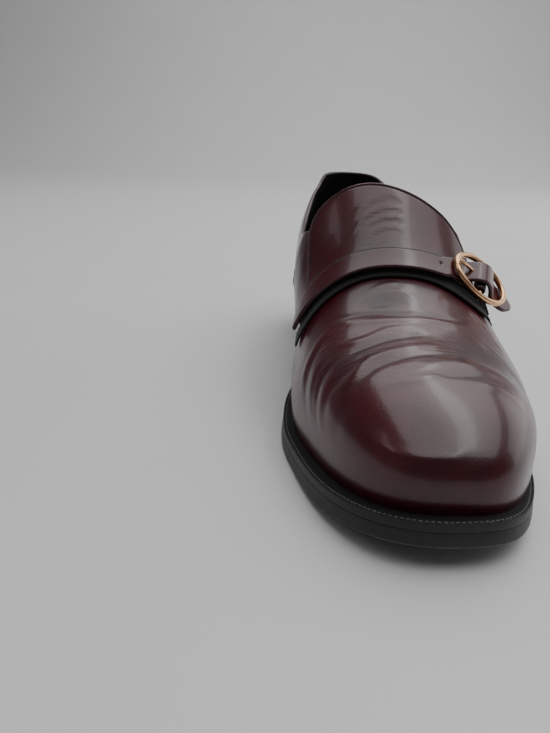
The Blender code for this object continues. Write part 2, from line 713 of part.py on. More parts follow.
def build_buckle(buckle, look):
    """Oval frame with a bar across its middle, and the prong that hooks round the bar."""
    turn = np.linspace(0.0, 2.0 * math.pi, WIRE_STEPS, endpoint=False)
    oval = [buckle.place(buckle.half * math.cos(t), buckle.side * math.sin(t), 0.0) for t in turn]
    frame = tube("buckle_frame", oval, BUCKLE_WIRE, look, cyclic=True)
    ends = [buckle.place(0.0, side * (buckle.side - 0.2 * buckle.wire), 0.0) for side in (-1.0, 1.0)]
    bar = tube("buckle_bar", ends, BUCKLE_BAR, look)
    cutters.objects.link(bar)
    shoe.objects.unlink(bar)
    bar.hide_render = True
    bar.display_type = "WIRE"
    join = frame.modifiers.new("bar", "BOOLEAN")
    join.operation = "UNION"
    join.object = bar
    join.solver = "EXACT"

    hook = buckle.loop + PRONG_WIRE / 2.0
    rest = buckle.wire + CLEARANCE + PRONG_WIRE / 2.0
    path = [
        buckle.place(-hook * math.cos(t), 0.0, hook * math.sin(t))
        for t in np.linspace(*np.radians(PRONG_HOOK), HOOK_STEPS + 1)
    ]
    run = table(PRONG_RUN_COLUMNS, PRONG_RUN)
    path += [
        buckle.place(-buckle.half * share, STRAP_WIDTH * float(STRAP_ASIDE(-share)), rest * height)
        for share, height in zip(run["along"], run["height"])
    ]
    tube("buckle_prong", path, PRONG_WIRE, look)


def build_chape(buckle, look):
    """Leather tab that wraps the bar and runs down to the side of the shoe, slit for the prong."""
    station = STRAP_STATION + BUCKLE_SHIFT
    rows = []
    for girth in np.linspace(CHAPE_GIRTH, CHAPE_GIRTH - CHAPE_FOOT, 3):
        reach = CHAPE_WIDTH / 2.0 / skin_frame(station, girth)[4]
        rows.append([on_skin(station + e * reach, girth, SKIN_LIFT) for e in CHAPE_EDGES])
    turns = np.concatenate(((CHAPE_SLIT_TURN,), np.linspace(*CHAPE_TURN, CHAPE_STEPS + 1)))
    radii = np.full(len(turns), buckle.loop)
    radii[0] += CHAPE_SLIT_DROP
    slit = set()
    for i in range(len(turns) - 1):
        if turns[i] < CHAPE_BRIDGE[0] or turns[i + 1] > CHAPE_BRIDGE[1]:
            slit.add((len(rows) + i, 1))
    for turn, radius in zip(np.radians(turns), radii):
        ahead, out = radius * math.cos(turn), radius * math.sin(turn)
        rows.append([buckle.place(ahead, e * CHAPE_WIDTH / 2.0, out) for e in CHAPE_EDGES])
    points = np.array(rows).reshape(-1, 3)
    faces = grid_faces(len(rows), len(CHAPE_EDGES), skip=slit)
    made = new_object("buckle_chape", points, faces, look)
    face_outwards(made, buckle.centre, near=2.0 * buckle.loop)
    thicken(made, CHAPE_THICKNESS, outwards=True)


clear_scene()
shoe = bpy.data.collections.new("monk_strap_shoe")
cutters = bpy.data.collections.new("cutters")
bpy.context.scene.collection.children.link(shoe)
bpy.context.scene.collection.children.link(cutters)

oxblood_leather = material("oxblood_leather", (0.085, 0.018, 0.022), 0.28)
black_leather = material("black_leather", (0.012, 0.011, 0.011), 0.45)
edge_black = material("edge_black", (0.016, 0.016, 0.018), 0.50)
sole_leather = material("sole_leather", (0.020, 0.019, 0.019), 0.48)
rubber = material("rubber", (0.014, 0.014, 0.014), 0.65)
elastic = material("elastic", (0.008, 0.008, 0.008), 0.85)
gold = material("gold_plate", (0.80, 0.52, 0.24), 0.22, metallic=1.0)

foot_loop, welt_reach = rim()
build_outsole(foot_loop, welt_reach, sole_leather)
build_welt(foot_loop, welt_reach, edge_black)
build_insole(foot_loop, black_leather)
build_heel(foot_loop, welt_reach, edge_black, rubber)
build_upper(oxblood_leather)
build_tongue(oxblood_leather)
build_gore(elastic)
buckle_place = BuckleFrame()
build_strap(buckle_place, oxblood_leather)
build_buckle(buckle_place, gold)
build_chape(buckle_place, oxblood_leather)
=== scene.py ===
# Looks of the left monk strap shoe: leather, lining, stitching, elastic, buckle and sole edge.
# Shapes are worked out in (x, station, z), where a station runs from the back of the heel to
# the toe, and a girth runs over the instep from the ridge line, negative on the inner side.
# Sizes are in metres where no other unit is named.

import math
from functools import partial

import bpy
import numpy as np
from mathutils import Matrix

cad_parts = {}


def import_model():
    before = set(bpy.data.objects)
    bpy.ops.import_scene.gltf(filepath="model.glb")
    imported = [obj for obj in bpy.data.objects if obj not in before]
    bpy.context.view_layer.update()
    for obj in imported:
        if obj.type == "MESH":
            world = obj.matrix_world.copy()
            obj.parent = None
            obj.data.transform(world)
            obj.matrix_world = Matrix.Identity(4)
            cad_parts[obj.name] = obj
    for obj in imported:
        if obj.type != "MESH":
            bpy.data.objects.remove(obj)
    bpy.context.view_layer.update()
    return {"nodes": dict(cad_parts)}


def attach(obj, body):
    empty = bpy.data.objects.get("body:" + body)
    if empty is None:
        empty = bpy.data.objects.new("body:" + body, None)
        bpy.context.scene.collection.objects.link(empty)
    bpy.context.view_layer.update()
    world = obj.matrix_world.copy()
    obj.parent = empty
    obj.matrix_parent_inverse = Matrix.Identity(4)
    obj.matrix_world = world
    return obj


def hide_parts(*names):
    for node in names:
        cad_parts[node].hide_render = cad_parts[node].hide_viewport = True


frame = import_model()
print("frame loaded")

mm = 0.001

# The last: the form that the upper is drawn over
last = {
    "length": 0.302, "ballWidth": 0.099, "heelWidth": 0.068, "instepHeight": 0.074,
    "toeBoxHeight": 0.039, "backHeight": 0.0625, "setback": 0.002, "throat": 0.530,
    "heelFan": 0.115, "toeFan": 0.800, "crownPower": 2.2, "toePower": 2.85, "heelPower": 2.15,
    "pinchPower": 1.6, "wall": 0.002,
}
soleForm = {
    "heelHeight": 0.029, "heelLength": 0.070, "topPiece": 0.006, "heelTaper": 0.0025,
    "heelInset": 0.0008, "breastCurve": 0.005, "shankDrop": 0.12, "tread": 0.600,
    "spring": 0.720, "toeSpring": 0.009, "outsole": 0.0052, "flare": 0.0005, "welt": 0.0036,
    "weltReach": 0.0062, "weltInside": 0.005, "gap": 0.0003,
}
sectionColumns = (
    "share", "ball", "medial", "lateral", "toe", "ridge", "belly", "power", "lean", "pinch",
    "tuckMedial", "tuckLateral", "weltMedial", "weltLateral",
)
sectionRows = (
    (0.000, 0.00, 0.456, 0.471, 0.0, 1.305, 0.324, 2.20, 0.000, 0.95, 0.040, 0.040, 0.34, 0.34),
    (0.115, 0.00, 0.493, 0.500, 0.0, 1.292, 0.324, 2.20, 0.000, 0.95, 0.040, 0.040, 0.34, 0.34),
    (0.220, 0.10, 0.478, 0.506, 0.0, 1.238, 0.324, 2.20, 0.000, 0.90, 0.060, 0.050, 0.34, 0.34),
    (0.350, 0.45, 0.433, 0.506, 0.0, 1.316, 0.297, 2.10, 0.000, 0.60, 0.120, 0.070, 0.36, 0.36),
    (0.430, 0.70, 0.424, 0.513, 0.0, 1.380, 0.257, 2.00, 0.000, 0.20, 0.130, 0.070, 0.40, 0.42),
    (0.500, 0.85, 0.435, 0.523, 0.0, 1.202, 0.216, 1.95, -0.011, 0.00, 0.110, 0.060, 0.48, 0.48),
    (0.550, 0.95, 0.441, 0.532, 0.0, 1.011, 0.189, 1.90, -0.021, 0.00, 0.080, 0.055, 0.56, 0.50),
    (0.600, 1.00, 0.460, 0.538, 0.0, 0.839, 0.162, 1.95, -0.030, 0.00, 0.050, 0.055, 0.64, 0.48),
    (0.660, 1.00, 0.478, 0.537, 0.2, 0.785, 0.149, 2.05, -0.035, 0.00, 0.030, 0.055, 0.68, 0.44),
    (0.720, 1.00, 0.481, 0.515, 0.5, 0.825, 0.159, 2.20, -0.035, 0.00, 0.020, 0.045, 0.70, 0.42),
    (0.790, 1.00, 0.446, 0.453, 0.8, 0.925, 0.174, 2.50, -0.025, 0.00, 0.015, 0.030, 0.80, 0.22),
    (0.860, 1.00, 0.400, 0.386, 1.0, 0.996, 0.179, 2.80, -0.010, 0.00, 0.010, 0.020, 0.92, 0.26),
    (0.920, 1.00, 0.364, 0.322, 1.0, 0.885, 0.154, 3.00, 0.000, 0.00, 0.010, 0.010, 1.00, 0.45),
    (1.000, 1.00, 0.318, 0.258, 1.0, 0.682, 0.128, 3.00, 0.000, 0.00, 0.010, 0.010, 1.00, 1.00),
)
toplineColumns = ("share", "back", "instep")
toplineRows = (
    (0.000, 1.000, 0.000), (0.060, 0.990, 0.000), (0.160, 0.885, 0.000), (0.280, 0.740, 0.000),
    (0.380, 0.790, 0.000), (0.460, 0.480, 0.430), (0.500, 0.000, 0.950), (0.530, 0.000, 1.080),
)
# How the leather of the inner side has settled, in millimetres: station, how far the collar has
# spread, and how far the wall has drawn in below it
collarEase = (
    (0, -1.0, 4.3), (30, -1.0, 4.3), (44, 0.7, 3.6), (52, 2.4, 2.6), (60, 3.1, 1.5), (74, 3.9, 0.3),
    (85, 5.1, 0.0), (100, 6.5, 0.0), (112, 7.4, 0.0), (124, 7.8, 0.0), (140, 7.8, 0.0),
    (150, 5.6, 0.0), (160, 1.8, 0.0), (167, 0.0, 0.0), (302, 0.0, 0.0),
)


def naturalSpline(knots, values):
    # Smooth function through the knots, straight at both ends
    knots, values = np.asarray(knots, float), np.asarray(values, float)
    gap = np.diff(knots)
    matrix, right = np.eye(len(knots)), np.zeros(len(knots))
    for i in range(1, len(knots) - 1):
        matrix[i, i - 1:i + 2] = gap[i - 1], 2 * (gap[i - 1] + gap[i]), gap[i]
        right[i] = 6 * ((values[i + 1] - values[i]) / gap[i] - (values[i] - values[i - 1]) / gap[i - 1])
    bend = np.linalg.solve(matrix, right)

    def value(x):
        x = np.asarray(x, float)
        i = np.clip(np.searchsorted(knots, x) - 1, 0, len(knots) - 2)
        a, b = (knots[i + 1] - x) / gap[i], (x - knots[i]) / gap[i]
        curve = ((a ** 3 - a) * bend[i] + (b ** 3 - b) * bend[i + 1]) * gap[i] ** 2 / 6
        return a * values[i] + b * values[i + 1] + curve

    return value


def columnsOf(names, rows):
    return dict(zip(names, np.array(rows).T))


def sectionSizes():
    rows = columnsOf(sectionColumns, sectionRows)
    width = last["heelWidth"] + rows["ball"] * (last["ballWidth"] - last["heelWidth"])
    height = last["instepHeight"] + rows["toe"] * (last["toeBoxHeight"] - last["instepHeight"])
    factor = {
        "medial": width, "lateral": width, "lean": width, "ridge": height, "belly": height,
        "weltMedial": soleForm["weltReach"], "weltLateral": soleForm["weltReach"],
    }
    station = rows["share"] * last["length"]
    return {
        name: naturalSpline(station, rows[name] * factor.get(name, 1.0))
        for name in sectionColumns if name not in ("share", "ball", "toe")
    }


size = sectionSizes()
toplineTable = columnsOf(toplineColumns, toplineRows)
toplineRise = naturalSpline(
    toplineTable["share"] * last["length"],
    toplineTable["back"] * last["backHeight"] + toplineTable["instep"] * last["instepHeight"],
)


def treadHeight(station):
    station = np.asarray(station, float)
    heel = soleForm["heelLength"]
    run = soleForm["tread"] * last["length"] - heel
    t = np.clip((station - heel) / run, 0, 1)
    drop = soleForm["shankDrop"] * run * (t ** 3 - 2 * t ** 2 + t)
    shank = soleForm["heelHeight"] * (2 * t ** 3 - 3 * t ** 2 + 1) - drop
    spring = np.clip((station / last["length"] - soleForm["spring"]) / (1 - soleForm["spring"]), 0, 1)
    return np.where(station < heel, soleForm["heelHeight"], shank) + soleForm["toeSpring"] * spring ** 2


def upperFoot(station):
    return treadHeight(station) + soleForm["outsole"] + soleForm["welt"] + 2 * soleForm["gap"]


def world(points):
    points = np.array(points, float)
    points[..., 1] = soleForm["heelLength"] / 2 - points[..., 1]
    return points


def stationOf(points):
    return soleForm["heelLength"] / 2 - points[..., 1]


def spokeCurve(side, centre, reach, part, steps=420):
    # Below the belly the wall tucks in with depth squared; above it width falls with
    # cos(a)^(2/crown) and height rises with sin(a)^(2/power), a from 0 to 90 degrees.
    depth = np.linspace(1, 0, 40, endpoint=False)
    angle = np.linspace(0, math.pi / 2, steps)
    tuck = size["tuckLateral" if side > 0 else "tuckMedial"](centre + reach)
    out = np.concatenate((1 - tuck * depth ** 2, np.cos(angle) ** (2 / last["crownPower"])))
    station = centre + reach * out
    rise = np.concatenate((np.zeros(40), np.sin(angle))) ** (2 / size["power"](station))
    below = np.concatenate((depth, np.zeros(steps)))
    belly = size["belly"](station)
    z = upperFoot(station) + belly * (1 - below) + (size["ridge"](station) - belly) * rise
    half = size["lateral" if side > 0 else "medial"](station)
    half = half * (1 - size["pinch"](station) * rise ** last["pinchPower"])
    if side < 0:
        place, spread, drawn = np.array(collarEase, float).T * mm
        share = (z - upperFoot(station)) / np.maximum(toplineRise(np.clip(station, 0, 0.16)), 0.02)
        half = half + np.interp(station, place, spread) * smooth(share)
        half = half - np.interp(station, place, drawn) * bell(share - 0.6, 0.3)
    x = side * half * out * part + size["lean"](station) * (1 - np.minimum(out, 1) ** 2)
    return np.stack((x, station, z), axis=1)


def fan(power, count):
    # Quarter of a superellipse, |x|^power + |y|^power = 1, at even turns
    turn = np.linspace(0, math.pi / 2, count + 1)
    scale = (np.cos(turn) ** power + np.sin(turn) ** power) ** (-1 / power)
    return np.sin(turn) * scale, np.cos(turn) * scale


def spokes(heelCount, waistCount, vampCount, toeCount):
    # Spokes of one side, from the back of the heel to the tip of the toe
    heel, toe, throat = (last[k] * last["length"] for k in ("heelFan", "toeFan", "throat"))
    along, across = fan(last["heelPower"], heelCount)
    rows = [(heel, -(heel - last["setback"]) * a, b) for a, b in zip(along[:0:-1], across[:0:-1])]
    waist = heel + (throat - heel) * np.sin(np.linspace(0, math.pi / 2, waistCount, endpoint=False))
    vamp = np.linspace(throat, toe, vampCount, endpoint=False)
    rows += [(station, 0.0, 1.0) for station in np.concatenate((waist, vamp))]
    along, across = fan(last["toePower"], toeCount)
    tip = last["length"] - soleForm["weltReach"] - toe
    rows += [(toe, tip * a, b) for a, b in zip(along, across)]
    return rows


def around(make, rows):
    # One result per spoke, round the inner side to the toe and back along the outer side
    return [make(-1, row) for row in rows] + [make(1, row) for row in rows[1:-1]][::-1]


def arcLength(points):
    return np.concatenate(([0.0], np.cumsum(np.linalg.norm(np.diff(points, axis=0), axis=1))))


def pointsAt(line, length, at):
    return np.stack([np.interp(at, length, line[:, k]) for k in range(line.shape[1])], axis=1)


def resample(points, count):
    length = arcLength(points)
    return pointsAt(points, length, np.linspace(0, length[-1], count))


def eased(points, passes):
    # Each pass makes a point half of itself and a quarter of either neighbour; the ends stay
    for _ in range(passes):
        points[1:-1] = 0.25 * points[:-2] + 0.5 * points[1:-1] + 0.25 * points[2:]
    return points


def unit(vectors):
    return vectors / np.maximum(np.linalg.norm(vectors, axis=-1, keepdims=True), 1e-12)


def smooth(t):
    t = np.clip(t, 0, 1)
    return t * t * (3 - 2 * t)


def within(x, low, high, fade):
    # 1 between low and high, fading to 0 at both
    return smooth((x - low) / fade) * smooth((high - x) / fade)


def bell(distance, width, power=2):
    return np.exp(-(distance / width) ** power)


def roundEdge(away, radius):
    # Share of the radius that a round edge has reached at a distance from its border
    return np.sqrt(1 - (1 - np.clip(away / radius, 0, 1)) ** 2)


def gridQuads(columns, rows, wrapColumns=False, wrapRows=False, shift=0):
    i = np.arange(columns if wrapColumns else columns - 1)
    j = np.arange(rows if wrapRows else rows - 1)
    i, j = np.meshgrid(i, j, indexing="ij")
    k, m = (i + 1) % columns, (j + 1) % rows
    corners = (i * rows + j, k * rows + j, k * rows + m, i * rows + m)
    return np.stack(corners, axis=-1).reshape(-1, 4) + shift


def weld(points, quads):
    key = np.round(points / 1e-7).astype(np.int64)
    _, first, inverse = np.unique(key, axis=0, return_index=True, return_inverse=True)
    return first, inverse.reshape(-1)[quads]


def quadNormals(points, quads):
    a, b, c, d = (points[quads[:, k]] for k in range(4))
    return np.cross(c - a, d - b)


def vertexNormals(points, quads):
    face = quadNormals(points, quads)
    total = np.zeros_like(points)
    for k in range(4):
        np.add.at(total, quads[:, k], face)
    return unit(total)


def makeMesh(name, points, quads, look, attributes=None, smoothAngle=None):
    # Joins points that meet, drops faces without area and stores one number per point
    first, quads = weld(points, quads)
    repeated = quads == np.roll(quads, -1, axis=1)
    whole = quads[~repeated.any(axis=1)]
    bent = quads[repeated.sum(axis=1) == 1]
    keep = ~(bent == np.roll(bent, -1, axis=1))
    faces = whole.tolist() + bent[keep].reshape(-1, 3).tolist()
    mesh = bpy.data.meshes.new(name)
    mesh.from_pydata(points[first].tolist(), [], faces)
    for key, values in (attributes or {}).items():
        store = mesh.attributes.new(key, "FLOAT", "POINT")
        store.data.foreach_set("value", np.asarray(values, np.float32).reshape(-1)[first])
    mesh.shade_smooth()
    if smoothAngle:
        mesh.set_sharp_from_angle(angle=math.radians(smoothAngle))
    mesh.materials.append(look)
    made = bpy.data.objects.new(name, mesh)
    bpy.context.scene.collection.objects.link(made)
    return made


def outwardQuads(points, quads, centre):
    middle = points[quads].mean(axis=1)
    if ((middle - centre) * quadNormals(points, quads)).sum() < 0:
        return quads[:, ::-1]
    return quads


def addPiece(name, points, quads, look, slot, *nodes, marks=None, smoothAngle=None):
    # A mesh that rides on the root and replaces the nodes that it stands for; its slot is not used
    piece = makeMesh(name, points, quads, look, marks, smoothAngle)
    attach(piece, "root")
    if nodes:
        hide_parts(*nodes)


# Table of the skin over the instep, for pieces that lie on it
def buildSkin():
    stations = np.arange(0.100, 0.282, 0.001)
    girths = np.arange(-0.075, 0.0751, 0.001)
    points = []
    for station in stations:
        medial, lateral = spokeCurve(-1, station, 0, 1), spokeCurve(1, station, 0, 1)
        line = np.vstack((medial, lateral[-2::-1]))
        length = arcLength(line)
        length -= length[len(medial) - 1]
        points.append(pointsAt(line, length, girths))
    points = world(points)
    bySide = np.gradient(points, girths, axis=1)
    byStation = np.gradient(points, stations, axis=0)
    across = unit(bySide)
    ahead = byStation - across * (byStation * across).sum(axis=-1, keepdims=True)
    stretch = np.linalg.norm(ahead, axis=-1, keepdims=True)
    ahead = unit(ahead)
    return {
        "stations": stations, "girths": girths, "point": points, "across": across,
        "ahead": ahead, "stretch": stretch, "normal": unit(np.cross(ahead, across)),
    }


skin = buildSkin()


def onSkin(key, station, girth):
    # The table's value at a station and a girth, mixed from the four nearest
    station, girth = np.broadcast_arrays(np.asarray(station, float), np.asarray(girth, float))
    a = (station - skin["stations"][0]) / mm
    b = (girth - skin["girths"][0]) / mm
    i = np.clip(a.astype(int), 0, len(skin["stations"]) - 2)
    j = np.clip(b.astype(int), 0, len(skin["girths"]) - 2)
    u, v = (a - i)[..., None], (b - j)[..., None]
    table = skin[key]
    near = table[i, j] * (1 - u) + table[i + 1, j] * u
    far = table[i, j + 1] * (1 - u) + table[i + 1, j + 1] * u
    return near * (1 - v) + far * v


def lifted(station, girth, lift):
    point, normal = onSkin("point", station, girth), onSkin("normal", station, girth)
    return point + normal * np.asarray(lift)[..., None]


# Materials
def linear(hexColour):
    channels = [int(hexColour[k:k + 2], 16) / 255 for k in (0, 2, 4)]
    return [c / 12.92 if c <= 0.04045 else ((c + 0.055) / 1.055) ** 2.4 for c in channels] + [1.0]


def setInputs(node, inputs):
    # An input takes a number, a colour or another node's output
    for key, value in inputs.items():
        if isinstance(value, bpy.types.NodeSocket):
            node.id_data.links.new(value, node.inputs[key])
        else:
            node.inputs[key].default_value = value


def addNode(tree, kind, inputs=None, output=0, **settings):
    # Settings are the node's own properties; the result is the output asked for
    node = tree.nodes.new("ShaderNode" + kind)
    for key, value in settings.items():
        setattr(node, key, value)
    setInputs(node, inputs or {})
    return node.outputs[output]


def newMaterial(name, settings):
    # The material, its shader, its object coordinates and the function that adds its nodes
    made = bpy.data.materials.new(name)
    made.use_nodes = True
    shader = made.node_tree.nodes["Principled BSDF"]
    setInputs(shader, settings)
    add = partial(addNode, made.node_tree)
    return made, shader, add("TexCoord", output="Object"), add


def bumps(add, layers):
    # Layers are (height, strength, distance), the coarsest first
    normal = {}
    for height, strength, distance in layers:
        inputs = {"Height": height, "Strength": strength, "Distance": distance, **normal}
        normal = {"Normal": add("Bump", inputs)}
    return normal


def leatherMaterial(name, deep, bright, settings, grain, flexing=True):
    # Calf: clouded dye, pores every millimetre and a fine grain, both drawn coarser than life so
    # that they show; wax polish gives the gloss and the coat. Where "flex" is 1 it wrinkles, and
    # where "groove" is 1 it is painted dark and dull, as shade in creases, seams, holes and under things.
    made, shader, place, add = newMaterial(name, settings)
    cloud = add("TexNoise", {"Vector": place, "Scale": 34.0, "Detail": 4.0, "Roughness": 0.6})
    soft = add("MapRange", {"Value": cloud, "From Min": 0.3, "From Max": 0.7})
    colour = add("Mix", {0: soft, 6: linear(deep), 7: linear(bright)}, 2, data_type="RGBA")
    pores = add("TexVoronoi", {"Vector": place, "Scale": 950.0})
    fine = add("TexNoise", {"Vector": place, "Scale": 1700.0})
    polish = add("TexNoise", {"Vector": place, "Scale": 90.0, "Detail": 3.0})
    spread = {0: polish, 1: grain["roughSpread"], 2: grain["rough"]}
    rough = add("Math", spread, operation="MULTIPLY_ADD")
    layers = [(fine, grain["fine"], 0.0002), (pores, grain["pores"], 0.0003)]
    if flexing:
        groove = add("Attribute", output="Fac", attribute_name="groove")
        flex = add("Attribute", output="Fac", attribute_name="flex")
        drawn = add("Mapping", {"Vector": place, "Scale": (70.0, 620.0, 260.0)})
        across = add("TexNoise", {"Vector": drawn, "Scale": 1.0, "Detail": 3.0, "Roughness": 0.6})
        wrinkle = add("Math", {0: across, 1: flex}, operation="MULTIPLY")
        layers.insert(0, (wrinkle, grain["wrinkle"], 0.0009))
        # Painted shade: the groove mark mixes the colour towards the shade colour
        inputs = {0: groove, 6: colour, 7: linear(grain["shadeColour"])}
        colour = add("Mix", inputs, 2, data_type="RGBA")
        rough = add("Math", {0: groove, 1: 0.3, 2: rough}, operation="MULTIPLY_ADD")
    setInputs(shader, {"Base Color": colour, "Roughness": rough, **bumps(add, layers)})
    return made


oxblood = leatherMaterial(
    "oxbloodLeather", "30040d", "4b0a17",
    {"IOR": 1.47, "Coat Weight": 0.35, "Coat Roughness": 0.12, "Coat IOR": 1.5},
    {"rough": 0.27, "roughSpread": 0.10, "fine": 0.10, "pores": 0.10, "wrinkle": 0.35,
     "shadeColour": "0c0304"},
)
lining = leatherMaterial(
    "blackLining", "0b0a0a", "141212", {"IOR": 1.5},
    {"rough": 0.5, "roughSpread": 0.15, "fine": 0.3, "pores": 0.25}, flexing=False,
)


def weltMaterial():
    # Black edge dressing. Wheeled ribs run across the welt's top, one every 1.15 mm: a sine of
    # the length along its edge, with dust in them.
    made, shader, place, add = newMaterial("weltLeather", {"IOR": 1.45})
    run, wheel, above = (
        add("Attribute", output="Fac", attribute_name=key) for key in ("run", "wheel", "above")
    )
    ribs = add("Math", {0: run, 1: 2 * math.pi / (1.15 * mm)}, operation="MULTIPLY")
    ribs = add("Math", {0: ribs}, operation="SINE")
    ribs = add("Math", {0: ribs, 1: wheel}, operation="MULTIPLY")
    dust = add("TexNoise", {"Vector": place, "Scale": 420.0, "Detail": 4.0, "Roughness": 0.65})
    edge = add("Mix", {0: dust, 6: linear("0b0c0d"), 7: linear("1a1b1e")}, 2, data_type="RGBA")
    colour = add("Mix", {0: above, 6: edge, 7: linear("040404")}, 2, data_type="RGBA")
    # Wear and painted highlight: the outer edge of the welt's top is paler in patches
    wearAndHighlight = add("MapRange", {"Value": dust, "From Min": 0.52, "From Max": 0.75, "To Max": 0.5})
    wearAndHighlight = add("Math", {0: wearAndHighlight, 1: wheel}, operation="MULTIPLY")
    grit = add("TexNoise", {"Vector": place, "Scale": 900.0, "Detail": 3.0})
    setInputs(shader, {
        "Base Color": add("Mix", {0: wearAndHighlight, 6: colour, 7: linear("6a6a68")}, 2, data_type="RGBA"),
        "Roughness": add("Math", {0: above, 1: 0.32, 2: 0.46}, operation="MULTIPLY_ADD"),
        **bumps(add, [(ribs, 0.5, 0.0004), (grit, 0.35, 0.0003)]),
    })
    return made


def soleMaterial(name, low, high, rim):
    # Dressed edge, satin, streaked along its layers. Height is the share of the edge's
    # thickness; the lowest part is painted pale, as wear and as a painted highlight along the bottom rim.
    settings = {"IOR": 1.45, "Coat Weight": 0.1, "Coat Roughness": 0.35}
    made, shader, place, add = newMaterial(name, settings)
    height = add("Attribute", output="Fac", attribute_name="height")
    drawn = add("Mapping", {"Vector": place, "Scale": (60.0, 60.0, 1500.0)})
    streaks = add("TexNoise", {"Vector": drawn, "Scale": 1.0, "Detail": 4.0, "Roughness": 0.6})
    dust = add("TexNoise", {"Vector": place, "Scale": 300.0, "Detail": 4.0, "Roughness": 0.7})
    colour = add("Mix", {0: streaks, 6: linear(low), 7: linear(high)}, 2, data_type="RGBA")
    wearAndHighlight = add("MapRange", {"Value": height, "From Min": 0.16, "From Max": 0.04, "To Max": 0.7})
    much = add("Math", {0: dust, 1: 1.6}, operation="MULTIPLY")
    wearAndHighlight = add("Math", {0: wearAndHighlight, 1: much}, operation="MULTIPLY", use_clamp=True)
    pits = add("TexNoise", {"Vector": place, "Scale": 1300.0, "Detail": 3.0})
    setInputs(shader, {
        "Base Color": add("Mix", {0: wearAndHighlight, 6: colour, 7: linear(rim)}, 2, data_type="RGBA"),
        "Roughness": add("Math", {0: dust, 1: 0.25, 2: 0.38}, operation="MULTIPLY_ADD"),
        **bumps(add, [(streaks, 0.18, 0.0003), (pits, 0.2, 0.0002)]),
    })
    return made


def textileMaterial(name, settings, dark, pale, weave, bump):
    # Elastic web, woven and dull, or waxed linen thread: a fine noise is its weave or its twist
    made, shader, place, add = newMaterial(name, settings)
    drawn = add("Mapping", {"Vector": place, "Scale": weave})
    twist = add("TexNoise", {"Vector": drawn, "Scale": 1.0})
    colour = add("Mix", {0: twist, 6: linear(dark), 7: linear(pale)}, 2, data_type="RGBA")
    setInputs(shader, {"Base Color": colour, **bumps(add, [(twist, bump, 0.0003)])})
    return made


def goldMaterial():
    # Polished, gold coloured plating with a little tarnish
    made, shader, place, add = newMaterial("goldPlate", {"Metallic": 1.0})
    tarnish = add("TexNoise", {"Vector": place, "Scale": 260.0, "Detail": 4.0, "Roughness": 0.65})
    fine = add("TexNoise", {"Vector": place, "Scale": 1500.0, "Detail": 3.0})
    dull = {0: tarnish, 6: linear("eec39c"), 7: linear("c9956c")}
    setInputs(shader, {
        "Base Color": add("Mix", dull, 2, data_type="RGBA"),
        "Roughness": add("Math", {0: tarnish, 1: 0.16, 2: 0.12}, operation="MULTIPLY_ADD"),
        **bumps(add, [(fine, 0.06, 0.0002)]),
    })
    return made


weltLook = weltMaterial()
# The pale rim colour is wear and a painted highlight along the sole's bottom edge
soleLook = soleMaterial("soleEdge", "0b0c0e", "191b1f", "77746e")
heelLook = soleMaterial("heelEdge", "101113", "202125", "26272b")
rubberLook = soleMaterial("heelRubber", "0c0c0c", "171717", "2a2a2a")
webbing = {"Roughness": 0.85, "IOR": 1.45, "Sheen Weight": 0.15}
linen = {"Roughness": 0.55, "IOR": 1.5, "Sheen Weight": 0.2}
# The elastic is black, and is made near black so that it also carries painted shade under the strap
elasticAndShade = textileMaterial("elasticWeb", webbing, "030202", "0a0808", (2200.0, 700.0, 900.0), 0.5)
darkThread = textileMaterial("darkThread", linen, "080506", "2a1416", (1900.0,) * 3, 0.6)
weltThread = textileMaterial("weltThread", linen, "161616", "767674", (1900.0,) * 3, 0.6)
goldLook = goldMaterial()
print("materials made")

